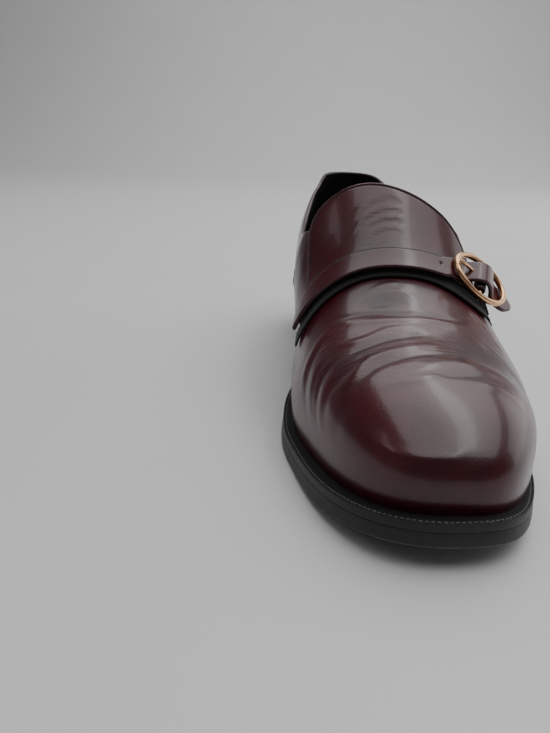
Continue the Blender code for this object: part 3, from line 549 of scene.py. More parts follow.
# Folds of the vamp. Each is a soft ridge or trough: height and half width in millimetres, then
# its line as (girth, station) in millimetres, from the inner to the outer side.
vampFolds = (
    (-0.65, 1.7, ((-36, 201), (-30, 203.5), (-22, 206.5), (-13, 208), (0, 210), (10, 209.5),
                  (20, 210), (30, 206))),
    (0.55, 2.4, ((-30, 209), (-20, 212.5), (-8, 214.5), (6, 214), (16, 213.5), (26, 211), (37, 203))),
    (0.50, 2.2, ((-36, 221), (-28, 224), (-22, 226), (-16, 225), (-10, 222), (-4, 220.5), (6, 219),
                 (13, 220))),
    (-0.60, 2.4, ((-37, 229), (-30, 232), (-22, 232), (-14, 230), (-6, 227.5), (4, 225.5), (13, 226))),
    (0.85, 2.5, ((-39, 252), (-32, 250), (-27, 247), (-21, 242.5), (-15, 240.5), (-8, 238.5),
                 (1, 236), (6, 234.5), (12, 234))),
    (-0.55, 2.4, ((-37, 257), (-28, 253), (-20, 248.5), (-12, 246), (-4, 243.5), (5, 242.5), (12, 243))),
    (0.30, 2.4, ((-24, 263), (-14, 261), (-8, 260.5), (-2, 259), (4, 260))),
    (0.40, 3.2, ((-8, 253), (0, 251), (5, 249.5), (13, 248), (22, 247.5), (30, 250), (37, 256))),
    (-0.42, 3.0, ((-4, 257.5), (2, 257.5), (8, 257), (15, 256), (22, 256), (30, 259))),
    (0.28, 2.4, ((12, 262), (18, 261), (24, 262), (29, 265.5), (33, 270))),
    (0.45, 2.0, ((26, 219), (34, 221), (39, 228), (43, 236), (47, 247))),
    (-0.40, 2.0, ((26, 225), (33, 227), (38, 234), (42, 242), (46, 252))),
    (0.40, 1.8, ((34, 192), (39, 197), (43, 205), (46, 214))),
    (-0.35, 1.8, ((33, 197), (38, 202), (42, 211), (45, 220))),
    (0.26, 2.1, ((-56, 228), (-48, 219), (-40, 212.5), (-33, 209.5), (-27, 210.5))),
    (-0.24, 2.0, ((-58, 238), (-50, 228), (-42, 219.5), (-35, 215), (-29, 215.5))),
    (0.22, 2.1, ((-58, 246), (-50, 236), (-42, 227), (-34, 223))),
    (-0.28, 1.8, ((-56, 252), (-48, 243), (-41, 236.5), (-35, 233.5), (-30, 232.5))),
    (0.18, 1.9, ((-56, 257), (-48, 248), (-42, 243), (-36, 239.5), (-30, 238))),
    (-0.26, 1.9, ((-52, 256), (-45, 250), (-39, 246.5), (-33, 244.5), (-28, 242.5))),
    (-0.2, 2.6, ((-52, 266), (-45, 263), (-38, 261.5), (-30, 261))),
    (0.30, 1.4, ((-20, 200.5), (-14, 197.5), (-8, 195.5), (-1, 194.3), (5, 195.5), (9, 199))),
    (-0.40, 3.2, ((-18, 204), (-10, 201.5), (-3, 200.5), (5, 201.5))),
    (0.28, 1.4, ((-16, 196), (-10, 193), (-4, 190.5), (3, 189.5))),
)
# Soft dents: station, girth, radius and depth in millimetres
vampDents = (
    (201, -6, 9, 0.7), (236, 22, 11, 0.5), (228, -2, 9, 0.25), (262, 12, 10, 0.35), (201, 27, 9, 0.35),
)
# The toe's crest, where its top turns down to the front, and the hollow behind it, in
# millimetres. The lines and places are (x, station, z).
toeForm = {
    "crest": 0.42, "crestWidth": 2.0, "hollow": 0.30, "hollowWidth": 6.0, "hollowPlace": (-12, 284, 40),
    "line": ((-26, 279, 36), (-24, 284, 35), (-20.4, 287.8, 34), (-13, 290.6, 34.6),
             (-5, 291.6, 34.8), (1, 290, 36.5)),
}


def toeRelief(points):
    # crest * max over the line of fade * bell(distance), less hollow * bell(distance), where
    # bell is exp(-(distance / width)^2)
    line = resample(world(np.array(toeForm["line"], float) * mm), 60)
    fade = within(np.linspace(0, 1, 60), 0, 1, 0.25)
    total = np.zeros(len(points))
    front = stationOf(points) > 0.262
    away = np.linalg.norm(points[front][:, None] - line[None], axis=2)
    crest = (fade * bell(away, toeForm["crestWidth"] * mm)).max(axis=1)
    total[front] = toeForm["crest"] * mm * crest
    away = np.linalg.norm(points - world(np.array(toeForm["hollowPlace"]) * mm), axis=1)
    return total - toeForm["hollow"] * mm * bell(away, toeForm["hollowWidth"] * mm)


def skinAngle(points):
    # Angle round the section, zero on the ridge, from the middle of the belly's level
    station = stationOf(points)
    lean = size["lean"](station)
    floor = upperFoot(station) + size["belly"](station)
    return np.arctan2(points[..., 0] - lean, points[..., 2] - floor)


def lineRelief(across, station, folds, toAcross):
    # Sum of height * fade(across) * bell(station - line(across))
    total = np.zeros_like(station)
    for height, width, line in folds:
        girth, place = np.array(line, float).T * mm
        knots = toAcross(place, girth)
        share = (across - knots[0]) / (knots[-1] - knots[0])
        fade = within(share, 0, 1, 0.3)
        centre = naturalSpline(knots, place)(np.clip(across, knots[0], knots[-1]))
        total += height * mm * fade * bell(station - centre, width * mm)
    return total


def foldRelief(points):
    # The folds' lines on the angle round the section, less the dents' bell curves
    def toAngle(place, girth):
        return skinAngle(onSkin("point", place, girth))

    total = lineRelief(skinAngle(points), stationOf(points), vampFolds, toAngle)
    for place, girth, radius, depth in vampDents:
        away = np.linalg.norm(points - onSkin("point", place * mm, girth * mm), axis=-1)
        total -= depth * mm * bell(away, radius * mm)
    return total


# The upper's grid and marks. Flex is where it wrinkles: low, high and fade, first by station and
# then by angle.
upperForm = {
    "spokes": (24, 52, 96, 44), "rows": 100, "rimSteps": 7, "grooveDepth": 0.0009, "creaseShade": 0.55,
    "rimDark": 0.6, "flex": (0.190, 0.268, 0.02), "flexTurn": (-1.25, 1.25, 0.5),
}


def buildUpper():
    # Columns of even points run up each spoke to the topline; the relief moves them along their
    # normals. The lining is the same grid, one wall further in.
    form = upperForm
    spokeRows = spokes(*form["spokes"])
    throat = last["throat"] * last["length"]

    def column(side, row):
        curve = spokeCurve(side, *row)
        length = arcLength(curve)
        station = row[0] + row[1]
        end = length[-1]
        if station < throat - 1e-6:
            end = np.interp(upperFoot(station) + toplineRise(station), curve[:, 2], length)
        even = np.linspace(0, end, form["rows"])
        points = pointsAt(curve, length, even)
        foot = points[0] - (0, 0, soleForm["gap"])
        return np.vstack((foot, points))

    rows = form["rows"] + 1
    columns = around(column, spokeRows)
    grid = world(columns)
    points = grid.reshape(-1, 3)
    quads = outwardQuads(points, gridQuads(len(columns), rows, wrapColumns=True), points.mean(axis=0))
    first, joined = weld(points, quads)
    where = np.zeros(len(points), int)
    where[quads.reshape(-1)] = joined.reshape(-1)
    normals = vertexNormals(points[first], joined)[where]
    relief = foldRelief(points) + toeRelief(points)
    outer = points + normals * relief[:, None]
    flex = within(stationOf(points), *form["flex"]) * within(skinAngle(points), *form["flexTurn"])
    # Painted shade: the folds' troughs, the dents and the toe's hollow are darker by their depth
    groove = np.clip(-relief / form["grooveDepth"], 0, 1) * form["creaseShade"]

    # Rim: the wall's edge as a half round from the outer to the inner face
    behind = [i for i, s in enumerate(stationOf(grid[:, -1])) if s < throat - 1e-6]
    start = next(i for i in range(len(behind) - 1) if behind[i + 1] != behind[i] + 1)
    tip = next(i for i, row in enumerate(spokeRows) if abs(row[0] - throat) < 1e-6)
    order = np.array([len(columns) - tip] + behind[start + 1:] + behind[:start + 1] + [tip])
    topRow = grid[order, -1]
    topNormal = normals.reshape(len(columns), rows, 3)[order, -1]
    topUp = unit(grid[order, -1] - grid[order, -3])
    turn = np.linspace(0, math.pi, form["rimSteps"])
    radius = last["wall"] / 2
    rim = topRow[:, None] - topNormal[:, None] * (radius * (1 - np.cos(turn)))[None, :, None]
    rim = rim + topUp[:, None] * (radius * np.sin(turn))[None, :, None]
    rimQuads = gridQuads(len(order), form["rimSteps"], shift=len(points))
    allPoints = np.vstack((outer, rim.reshape(-1, 3)))
    rimOut = quadNormals(allPoints, rimQuads)
    if (rimOut * (topUp[:-1].repeat(form["rimSteps"] - 1, axis=0))).sum() < 0:
        rimQuads = rimQuads[:, ::-1]
    rimCount = rim.shape[0] * rim.shape[1]
    # The rim gets the same dark mark, at rimDark
    marks = {
        "groove": np.concatenate((groove, np.full(rimCount, form["rimDark"]))),
        "flex": np.concatenate((flex, np.zeros(rimCount))),
    }
    skinQuads = np.vstack((quads, rimQuads))
    addPiece("upperSkin", allPoints, skinQuads, oxblood, "oxblood_leather", "upper", marks=marks)
    inner = points - normals * last["wall"]
    addPiece("upperLining", inner, quads[:, ::-1], lining, "black_leather", "upper")


buildUpper()
print("upper made")


def edgeDistance(grid):
    # Distance of each point of a grid to the nearest point of its border
    flat = grid.reshape(-1, 3)
    border = np.concatenate((grid[0], grid[-1], grid[:, 0], grid[:, -1]))
    nearest = np.full(len(flat), 1e9)
    for part in np.array_split(border, max(1, len(border) // 40)):
        away = np.linalg.norm(flat[:, None] - part[None], axis=2).min(axis=1)
        nearest = np.minimum(nearest, away)
    return nearest.reshape(grid.shape[:2])


def gridNormals(grid, guide):
    # Normals of a grid of points, turned to the side where the guide points
    normal = unit(np.cross(np.gradient(grid, axis=0), np.gradient(grid, axis=1)))
    sign = np.sign((normal * guide).sum(axis=-1, keepdims=True))
    return normal * np.where(sign == 0, 1, sign)


def padSheet(base, normal, thickness, relief=0.0):
    # A sheet of even thickness whose edge is rounded: half thickness = h * sqrt(1-(1-d/h)^2),
    # where d is the distance to the sheet's border.
    away = edgeDistance(base)
    swell = roundEdge(away, thickness / 2)
    middle = base + normal * thickness / 2
    outer = middle + normal * (swell * (thickness / 2 + relief))[..., None]
    inner = middle - normal * (swell * thickness / 2)[..., None]
    columns, rows = base.shape[:2]
    quads = gridQuads(columns, rows)
    face = quadNormals(outer.reshape(-1, 3), quads)
    if (face * normal[:-1, :-1].reshape(-1, 3)).sum() < 0:
        quads = quads[:, ::-1]
    points = np.concatenate((outer.reshape(-1, 3), inner.reshape(-1, 3)))
    return points, np.concatenate((quads, quads[:, ::-1] + columns * rows)), away


def cluster(count, power=1.5):
    # Shares from 0 to 1 that lie closer together at both ends
    t = np.linspace(-1, 1, count)
    return 0.5 + 0.5 * np.sign(t) * (1 - (1 - np.abs(t)) ** power)


def addStitches(name, path, up, settings, look, slot):
    # Capsules along a path: pitch, length, radius and how far each is sunk
    length = arcLength(path)
    count = int(length[-1] / settings["pitch"])
    middle = (np.arange(count) + 0.5) * length[-1] / count
    centre = pointsAt(path, length, middle)
    run = unit(pointsAt(path, length, middle + 2e-4) - pointsAt(path, length, middle - 2e-4))
    top = pointsAt(up, length, middle)
    top = unit(top - run * (top * run).sum(axis=1, keepdims=True))
    side = np.cross(run, top)
    along, turn = np.linspace(-1, 1, 7), np.linspace(0, 2 * math.pi, 8, endpoint=False)
    swell = np.sqrt(np.clip(1 - along ** 4, 0, 1))[:, None] * settings["radius"]
    a = np.repeat(along * settings["length"] / 2, len(turn))[:, None]
    b = (swell * np.cos(turn)[None]).reshape(-1)[:, None]
    c = (swell * np.sin(turn)[None]).reshape(-1)[:, None] - settings["sunk"]
    points = centre[:, None] + run[:, None] * a + side[:, None] * b + top[:, None] * c
    quads = gridQuads(len(along), len(turn), wrapRows=True)
    quads = (quads[None] + (np.arange(count) * len(a))[:, None, None]).reshape(-1, 4)
    addPiece(name, points.reshape(-1, 3), quads, look, slot)


# Tongue and strap. The tongue's turned edge is a trough, bind, beside a low crest, both at a
# distance from the border; a corner's radius is a share of the width and of the length.
tongueForm = {
    "thickness": 0.0019, "length": 0.030, "medial": 0.0512, "lateral": 0.0418, "spread": 0.001,
    "cornerMedial": (0.22, 0.32), "cornerLateral": (0.42, 0.55), "taper": 0.0045,
    "underlap": 0.25, "skew": 0.005, "flare": 0.001, "lift": 0.0006, "columns": 170, "rows": 90,
    "bindIn": 0.0017, "bindWidth": 0.00042, "bind": 0.00036, "bindShade": 0.9,
    "crestIn": 0.0007, "crestWidth": 0.0005, "crest": 0.00012, "undersideShade": 0.7,
    "flex": (-0.020, 0.008, 0.010),
}
strapForm = {
    "station": 0.1795, "width": 0.0125, "thickness": 0.0020, "medial": 0.0515,
    "landing": 0.0033, "tip": 0.0080, "tipNarrowing": 0.40, "lift": 0.0006 + 0.0019 + 0.0006,
    "seamIn": 0.00075, "seamWidth": 0.00045, "seam": 0.0004, "seamShadeWidth": 0.0007,
    "hole": (0.1784, 0.0212), "holeRadius": 0.00075, "holeDepth": 0.0008, "undersideShade": 0.8,
    "rimWidth": 0.00035, "steps": 260, "passes": 40,
    "stitch": {"pitch": 0.0013, "length": 0.00095, "radius": 0.0002, "sunk": 0.0},
}
# Wrinkles of the tongue, given as those of the vamp
tongueFolds = (
    (0.17, 1.5, ((-19, 160.5), (-12, 156.5), (-5, 154.6), (2, 154.2), (7, 156.5))),
    (-0.12, 1.1, ((-17, 163), (-10, 158.5), (-3, 156.6), (4, 156.6), (8, 158))),
    (0.15, 1.3, ((-20, 166.5), (-15, 163), (-9, 160.3), (-2, 158.6), (5, 158.8))),
    (-0.16, 1.1, ((-18, 167), (-12, 163.2), (-6, 160.8), (1, 160), (8, 160.5))),
    (0.10, 1.0, ((-12, 165), (-6, 162.6), (1, 161.8), (8, 162))),
    (-0.15, 1.0, ((-12, 167), (-6, 164.6), (1, 163.6), (8, 163.8))),
    (0.10, 1.0, ((-12, 169), (-6, 166.6), (1, 165.6), (8, 165.8))),
    (-0.12, 1.0, ((-10, 170), (-4, 168), (2, 167.5), (8, 167.8))),
)


def strapReach(girth, width):
    # Half the strap's width as a reach of stations, which spread out towards the sides
    return width / 2 / onSkin("stretch", strapForm["station"], girth)[..., 0]


def buildTongue():
    # A sheet from under the strap (v = 0) to its free edge (v = 1), u from the inner to the
    # outer side. Each free corner is pulled in by a quarter of its radius times tu^2 tv^2.
    form = tongueForm
    u = np.sin(np.linspace(-math.pi / 2, math.pi / 2, form["columns"]))[:, None]
    v = cluster(form["rows"])[None]
    wide, deep = (np.where(u > 0, form["cornerLateral"][k], form["cornerMedial"][k]) for k in (0, 1))
    tu = np.clip((np.abs(u) - 1 + wide) / wide, 0, 1)
    tv = np.clip((v - 1 + deep) / deep, 0, 1)
    pull = 0.25 * tu ** 2 * tv ** 2
    u, v = u - np.sign(u) * wide * pull, v - deep * pull
    girth = u * np.where(u > 0, form["lateral"], form["medial"])
    front = strapForm["station"] + form["underlap"] * strapReach(girth, strapForm["width"])
    station = front - v * (form["length"] - form["skew"] * np.sin(u * math.pi / 2))
    girth = girth + u * np.where(u > 0, form["spread"], -form["taper"]) * v
    base = lifted(station, girth, form["lift"] + form["flare"] * v ** 2 + 0 * station)
    normal = gridNormals(base, onSkin("normal", station, girth))
    away = edgeDistance(base)
    free = station < strapForm["station"] - 0.3 * strapForm["width"]
    bind = bell(away - form["bindIn"], form["bindWidth"]) * free
    relief = lineRelief(girth, station, tongueFolds, lambda place, across: across)
    relief += form["crest"] * bell(away - form["crestIn"], form["crestWidth"]) * free
    points, quads, _ = padSheet(base, normal, form["thickness"], relief - form["bind"] * bind)
    # Painted shade: the bind's trough is darkened, and the whole underside
    groove = np.stack((bind * form["bindShade"], np.full(bind.shape, form["undersideShade"])))
    flex = within(girth, *form["flex"]) * smooth((station - 0.152) / 0.006)
    marks = {"groove": groove, "flex": np.stack((flex, 0 * flex))}
    addPiece("tongueSkin", points, quads, oxblood, "oxblood_leather", "tongue", marks=marks)


buildTongue()

# Gore: ribs stand side by side across the foot, one every rib length
goreForm = {
    "thickness": 0.0010, "medial": 0.0555, "lateral": 0.0490, "lift": 0.0006, "rib": 0.0011,
    "ribHeight": 0.00009,
    "edge": ((-1.0, 0.34), (-0.6, 0.26), (0.0, 0.22), (0.45, 0.30), (0.8, 0.52), (1.0, 0.40)),
}


def buildGore():
    # A sheet from the tongue's front edge to its own front edge, whose reach past the strap is
    # a spline of the girth
    form = goreForm
    u = np.linspace(-1, 1, 150)[:, None]
    girth = u * np.where(u > 0, form["lateral"], form["medial"])
    reach = strapReach(girth, strapForm["width"])
    front = strapForm["station"] + reach * (1 + 2 * naturalSpline(*np.array(form["edge"]).T)(u))
    rear = strapForm["station"] + tongueForm["underlap"] * reach + 2 * soleForm["gap"]
    station = rear + (front - rear) * cluster(44)[None]
    girth = girth + 0 * station
    base = lifted(station, girth, np.full(station.shape, form["lift"]))
    normal = gridNormals(base, onSkin("normal", station, girth))
    relief = form["ribHeight"] * np.sin(2 * math.pi * girth / form["rib"])
    points, quads, _ = padSheet(base, normal, form["thickness"], relief)
    addPiece("goreWeb", points, quads, elasticAndShade, "elastic", "gore")


buildGore()

# Buckle and chape
buckleForm = {
    "length": 0.0330, "width": 0.0244, "wire": 0.0028, "bar": 0.0024, "girth": 0.0276,
    "shift": -0.0040, "rise": 0.0006, "dip": math.radians(8.0), "prong": 0.0016,
    "prongTurn": (-250, 20), "prongRun": ((0.40, 0.42), (0.62, 0.72), (0.85, 1.0), (1.04, 1.0)),
}
chapeForm = {
    "width": 0.0165, "thickness": 0.0012, "girth": 0.0570, "foot": 0.0055, "lift": 0.0006,
    "slit": 0.26, "turn": (-45, 235), "bridge": (84, 140), "dark": 0.8,
}
# The strap's run through the buckle: place along the frame as a share of half its length, height
# from under the frame (0) to over the bar (1), shift to the toe as a share of the strap's width
strapRun = (
    (-1.05, 0.00, 0.17), (-0.80, 0.00, 0.15), (-0.62, 0.02, 0.08), (-0.30, 0.62, 0.03),
    (-0.12, 0.95, 0.01), (0.00, 1.00, 0.00), (0.12, 0.95, 0.00), (0.34, 0.58, 0.00),
    (0.62, 0.02, 0.00), (0.80, 0.00, 0.00), (1.00, 0.00, 0.00),
)
strapAlong, strapOver, strapAside = np.array(strapRun).T
overBar, asideBar = naturalSpline(strapAlong, strapOver), naturalSpline(strapAlong, strapAside)


def buckleFrame():
    # The frame's axes and the heights that its wires and the strap need
    form = buckleForm
    place = (strapForm["station"] + form["shift"], form["girth"])
    point, across, ahead, normal = (onSkin(k, *place) for k in ("point", "across", "ahead", "normal"))
    wire = form["wire"] / 2
    under = -(wire + soleForm["gap"] + strapForm["thickness"])
    along = across * math.cos(form["dip"]) - normal * math.sin(form["dip"])
    half = form["length"] / 2 - wire
    loop = form["bar"] / 2 + soleForm["gap"]
    return {
        "along": along, "across": ahead, "out": np.cross(ahead, along), "half": half,
        "side": form["width"] / 2 - wire, "under": under, "loop": loop, "wire": wire,
        "over": loop + form["prong"] + soleForm["gap"],
        "centre": point + normal * (strapForm["lift"] - under + form["rise"]) + along * half,
    }


buckle = buckleFrame()


def inBuckle(along, across, out):
    along, across, out = np.broadcast_arrays(*(np.asarray(v, float) for v in (along, across, out)))
    return (
        buckle["centre"] + buckle["along"] * along[..., None] + buckle["across"] * across[..., None]
        + buckle["out"] * out[..., None]
    )


def evenRows(base, count):
    # A grid's rows drawn again at even lengths along its middle column
    length = arcLength(base[:, base.shape[1] // 2])
    even = np.linspace(0, length[-1], count)
    rows = [pointsAt(base[:, j], length, even) for j in range(base.shape[1])]
    return np.stack(rows, axis=1), length, even


def buildStrap():
    # Rows run over the skin, then through the buckle, then along the tip, and are eased into one
    # bend; e runs across the strap from the back edge (-1) to the front edge (1).
    form = strapForm
    e = 2 * cluster(34, 1.8)[None] - 1
    girth = np.linspace(-form["medial"], buckleForm["girth"] - form["landing"], 120)[:, None]
    station = form["station"] + e * strapReach(girth, form["width"])
    girth = girth + 0 * e
    skinRows = lifted(station, girth, np.full(station.shape, form["lift"]))
    share = np.linspace(strapAlong[0], strapAlong[-1], 90)[:, None]
    height = buckle["under"] + (buckle["over"] - buckle["under"]) * overBar(share)
    across = e * form["width"] / 2 + form["width"] * asideBar(share)
    runRows = inBuckle(share * buckle["half"], across, height + 0 * across)
    step = np.linspace(0, 1, 14)[1:, None]
    narrow = 1 - form["tipNarrowing"] * step ** 2
    tipRows = inBuckle(
        strapAlong[-1] * buckle["half"] + step * form["tip"] * (1 - 0.35 * e ** 2 * step),
        e * narrow * form["width"] / 2, buckle["under"] + 0 * e * step,
    )
    base, length, even = evenRows(np.concatenate((skinRows, runRows, tipRows)), form["steps"])
    base = eased(base, form["passes"])
    outFrame = np.broadcast_to(buckle["out"], (len(runRows) + len(tipRows), e.shape[1], 3))
    guide = np.concatenate((onSkin("normal", station, girth), outFrame))
    normal = gridNormals(base, guide[np.clip(np.searchsorted(length, even), 0, len(length) - 1)])
    across = np.broadcast_to(e * form["width"] / 2, base.shape[:2])
    toSeam = across + form["width"] / 2 - form["seamIn"]
    split = length[len(skinRows) - 1]
    onTop = smooth((split - even) / 0.004)[:, None]
    hole = np.linalg.norm(base - lifted(*form["hole"], np.array(form["lift"])), axis=-1)
    pit = bell(hole, form["holeRadius"], 4)
    relief = -form["seam"] * bell(toSeam, form["seamWidth"]) * onTop - form["holeDepth"] * pit
    points, quads, away = padSheet(base, normal, form["thickness"], relief)
    # Painted shade: dark along the seam where the strap meets the tongue, in the prong hole and along the
    # edges, fully on the back edge; the underside is darkened as well
    rim = bell(away, form["rimWidth"]) * (0.5 + 0.5 * (across < 0))
    dark = np.clip(bell(toSeam, form["seamShadeWidth"]) * onTop + pit + rim, 0, 1)
    groove = np.stack((dark, np.full(dark.shape, form["undersideShade"])))
    marks = {"groove": groove, "flex": 0.25 * groove}
    addPiece("strapSkin", points, quads, oxblood, "oxblood_leather", "instep_strap", marks=marks)
    row, end = int(np.argmin(np.abs(toSeam[0]))), int(np.searchsorted(even, split - 0.002))
    up = normal[:end, row]
    path = base[:end, row] + up * (form["thickness"] - form["seam"])
    addStitches("strapStitches", path, up, form["stitch"], darkThread, "oxblood_leather")


def tube(path, radius, side, sides=14, closed=False):
    # A round wire: rings across the path, turned along with it, that start square to side
    count = len(path)
    radius = np.broadcast_to(np.asarray(radius, float), (count,))[:, None, None]
    run = np.roll(path, -1, axis=0) - np.roll(path, 1, axis=0)
    if not closed:
        run[0], run[-1] = path[1] - path[0], path[-1] - path[-2]
    run = unit(run)
    first = unit(np.cross(run, side))
    turn = np.linspace(0, 2 * math.pi, sides, endpoint=False)[None, :, None]
    second = np.cross(run, first)[:, None]
    points = path[:, None] + radius * (first[:, None] * np.cos(turn) + second * np.sin(turn))
    points = points.reshape(-1, 3)
    quads = gridQuads(count, sides, wrapColumns=closed, wrapRows=True)
    return points, outwardQuads(points, quads, path[quads[:, 0] // sides])


def capsule(start, end, radius, steps=8):
    # Path and radii of a bar with round ends: places 1 - cos(t) and radii sin(t) at each end
    turn = np.linspace(0, math.pi / 2, steps)
    inset = unit(end - start) * (radius * (1 - np.cos(turn)))[:, None]
    swell = np.sin(turn) * radius
    return np.concatenate((start + inset, end - inset[::-1])), np.concatenate((swell, swell[::-1]))


def merged(parts):
    points, quads, shift = [], [], 0
    for p, q in parts:
        points.append(p)
        quads.append(q + shift)
        shift += len(p)
    return np.concatenate(points), np.concatenate(quads)


def buildBuckle():
    # The ring is an ellipse of wire with a bar across it. The prong hooks round the bar by an
    # arc, then its shank rests on the ring's far side.
    turn = np.linspace(0, 2 * math.pi, 120, endpoint=False)
    oval = inBuckle(buckle["half"] * np.cos(turn), buckle["side"] * np.sin(turn), 0.0)
    reach = buckle["side"] - 0.2 * buckle["wire"]
    bar, thick = capsule(inBuckle(0, -reach, 0), inBuckle(0, reach, 0), buckleForm["bar"] / 2)
    parts = [
        tube(oval, buckle["wire"], buckle["out"], 18, closed=True),
        tube(bar, np.maximum(thick, 1e-5), buckle["out"]),
    ]
    addPiece("buckleRing", *merged(parts), goldLook, "gold_plate", "buckle_frame")

    prong = buckleForm["prong"]
    hook = buckle["loop"] + prong / 2
    rest = buckle["wire"] + soleForm["gap"] + prong / 2
    turn = np.radians(np.linspace(*buckleForm["prongTurn"], 40))
    arc = inBuckle(-hook * np.cos(turn), 0.0, hook * np.sin(turn))
    share, height = np.array(buckleForm["prongRun"]).T
    shank = inBuckle(-buckle["half"] * share, strapForm["width"] * asideBar(-share), rest * height)
    path = eased(resample(np.concatenate((arc, shank)), 90), 8)
    length = arcLength(path)
    ends = np.minimum(length, length[-1] - length)
    radius = prong / 2 * roundEdge(ends, prong / 2)
    points, quads = tube(path, np.maximum(radius, 1e-5), buckle["across"])
    addPiece("buckleProng", points, quads, goldLook, "gold_plate", "buckle_prong")


def chapeStrip(low, high, turns, foot):
    # Part of the chape's width: an arc round the bar, with a foot on the skin where asked
    form = chapeForm
    e = low + (high - low) * cluster(12, 1.6)[None]
    turn = np.radians(turns)[:, None]
    loop = buckle["loop"]
    rows = [inBuckle(loop * np.cos(turn), e * form["width"] / 2, loop * np.sin(turn))]
    if foot:
        girth = np.linspace(form["girth"], form["girth"] - form["foot"], 16)[:, None]
        place = strapForm["station"] + buckleForm["shift"] + e * strapReach(girth, form["width"])
        rows.insert(0, lifted(place, girth + 0 * e, np.full(place.shape, form["lift"])))
    base = evenRows(np.concatenate(rows), 60)[0]
    guide = base - buckle["centre"]
    guide = guide - buckle["across"] * (guide * buckle["across"]).sum(axis=-1, keepdims=True)
    return padSheet(base, gridNormals(base, guide), form["thickness"])[:2]


def buildChape():
    slit, turns = chapeForm["slit"], np.linspace(*chapeForm["turn"], 60)
    points, quads = merged([
        chapeStrip(-1, -slit, turns, True), chapeStrip(slit, 1, turns, True),
        chapeStrip(-slit, slit, np.linspace(*chapeForm["bridge"], 20), False),
    ])
    # Painted shade: the whole chape is darkened, as it lies in shade inside the ring
    dark = np.full(len(points), chapeForm["dark"])
    marks = {"groove": dark, "flex": 0 * dark}
    addPiece("chapeSkin", points, quads, oxblood, "oxblood_leather", "buckle_chape", marks=marks)


buildStrap()
buildBuckle()
buildChape()
print("tongue, gore, strap and buckle made")


# Sole, welt and heel. Names that end in "In" are distances in from the welt's edge.
edgeForm = {"swell": 0.00022, "round": 0.0009, "sharp": 0.00015, "flush": 0.00045, "inside": 0.008}
weltForm = {
    "round": 0.0006, "sharp": 0.00012, "groove": 0.00025, "grooveIn": 0.00125, "grooveWidth": 0.0004,
    "flat": (0.0007, 0.0030), "wheelWidth": 0.0016,
    "stitch": {"pitch": 0.0019, "length": 0.00145, "radius": 0.00026, "sunk": 0.00005},
}
heelForm = {"lifts": 4, "dent": 0.00025, "bevel": 0.0003}


def offsetLoop(loop, distance):
    # Each point of a closed line moved out along its normal
    along = np.roll(loop, -1, axis=0) - np.roll(loop, 1, axis=0)
    normal = unit(np.stack((-along[:, 1], along[:, 0]), axis=1))
    return loop + normal * np.asarray(distance).reshape(-1, 1)


def soleLoop():
    # The upper's foot line, and the welt's reach past it, evened out along the line
    def foot(side, row):
        return spokeCurve(side, *row, steps=3)[0, :2]

    def reachAt(side, row):
        return size["weltLateral" if side > 0 else "weltMedial"](row[0] + row[1])

    rows = spokes(30, 70, 50, 60)
    loop, reach = np.array(around(foot, rows)), np.array(around(reachAt, rows))
    for _ in range(80):
        reach = 0.25 * np.roll(reach, 1) + 0.5 * reach + 0.25 * np.roll(reach, -1)
    return loop, reach


footLoop, weltReach = soleLoop()


def soleRings(profile, edge):
    # Profile rows are (inset from the edge, height above the outsole's underside)
    rings = []
    for inset, height in profile:
        loop = offsetLoop(footLoop, edge - inset)
        rings.append(np.column_stack((loop, treadHeight(loop[:, 1]) + height)))
    return world(rings)


def corner(radius, height, steps, up):
    # Quarter round as (inset, height): the edge's lower corner, or the upper one where up is -1
    turn = np.linspace(0, math.pi / 2, steps)[::up]
    return np.column_stack((radius * (1 - np.sin(turn)), height + up * radius * (1 - np.cos(turn))))


def stripCap(count, shift):
    # Faces that close a ring by joining each point to the one across from it
    j = np.arange(count // 2)
    return np.stack((j, j + 1, count - j - 1, (count - j) % count), axis=1) + shift


def buildSole():
    # The edge is trimmed with the welt's: it meets the welt flush and swells below it, with
    # inset = flush * ((height - round) / (thick - round))^2
    form = edgeForm
    thick, low = soleForm["outsole"] + form["swell"], form["round"]
    level = np.linspace(low, thick - form["sharp"], 8)[1:-1]
    side = np.column_stack((form["flush"] * ((level - low) / (thick - low)) ** 2, level))
    top = corner(form["sharp"], thick, 6, -1) + (form["flush"], 0)
    profile = np.vstack(((form["inside"], 0), corner(low, 0, 6, 1), side, top, (form["inside"], thick)))
    rings = soleRings(profile, weltReach + soleForm["flare"])
    count = rings.shape[1]
    quads = gridQuads(len(rings), count, wrapRows=True)
    quads = np.concatenate((quads, stripCap(count, 0)[:, ::-1], stripCap(count, count * (len(rings) - 1))))
    marks = {"height": np.repeat(profile[:, 1] / thick, count)}
    addPiece(
        "outsoleSkin", rings.reshape(-1, 3), quads, soleLook, "sole_leather", "outsole",
        marks=marks, smoothAngle=60,
    )


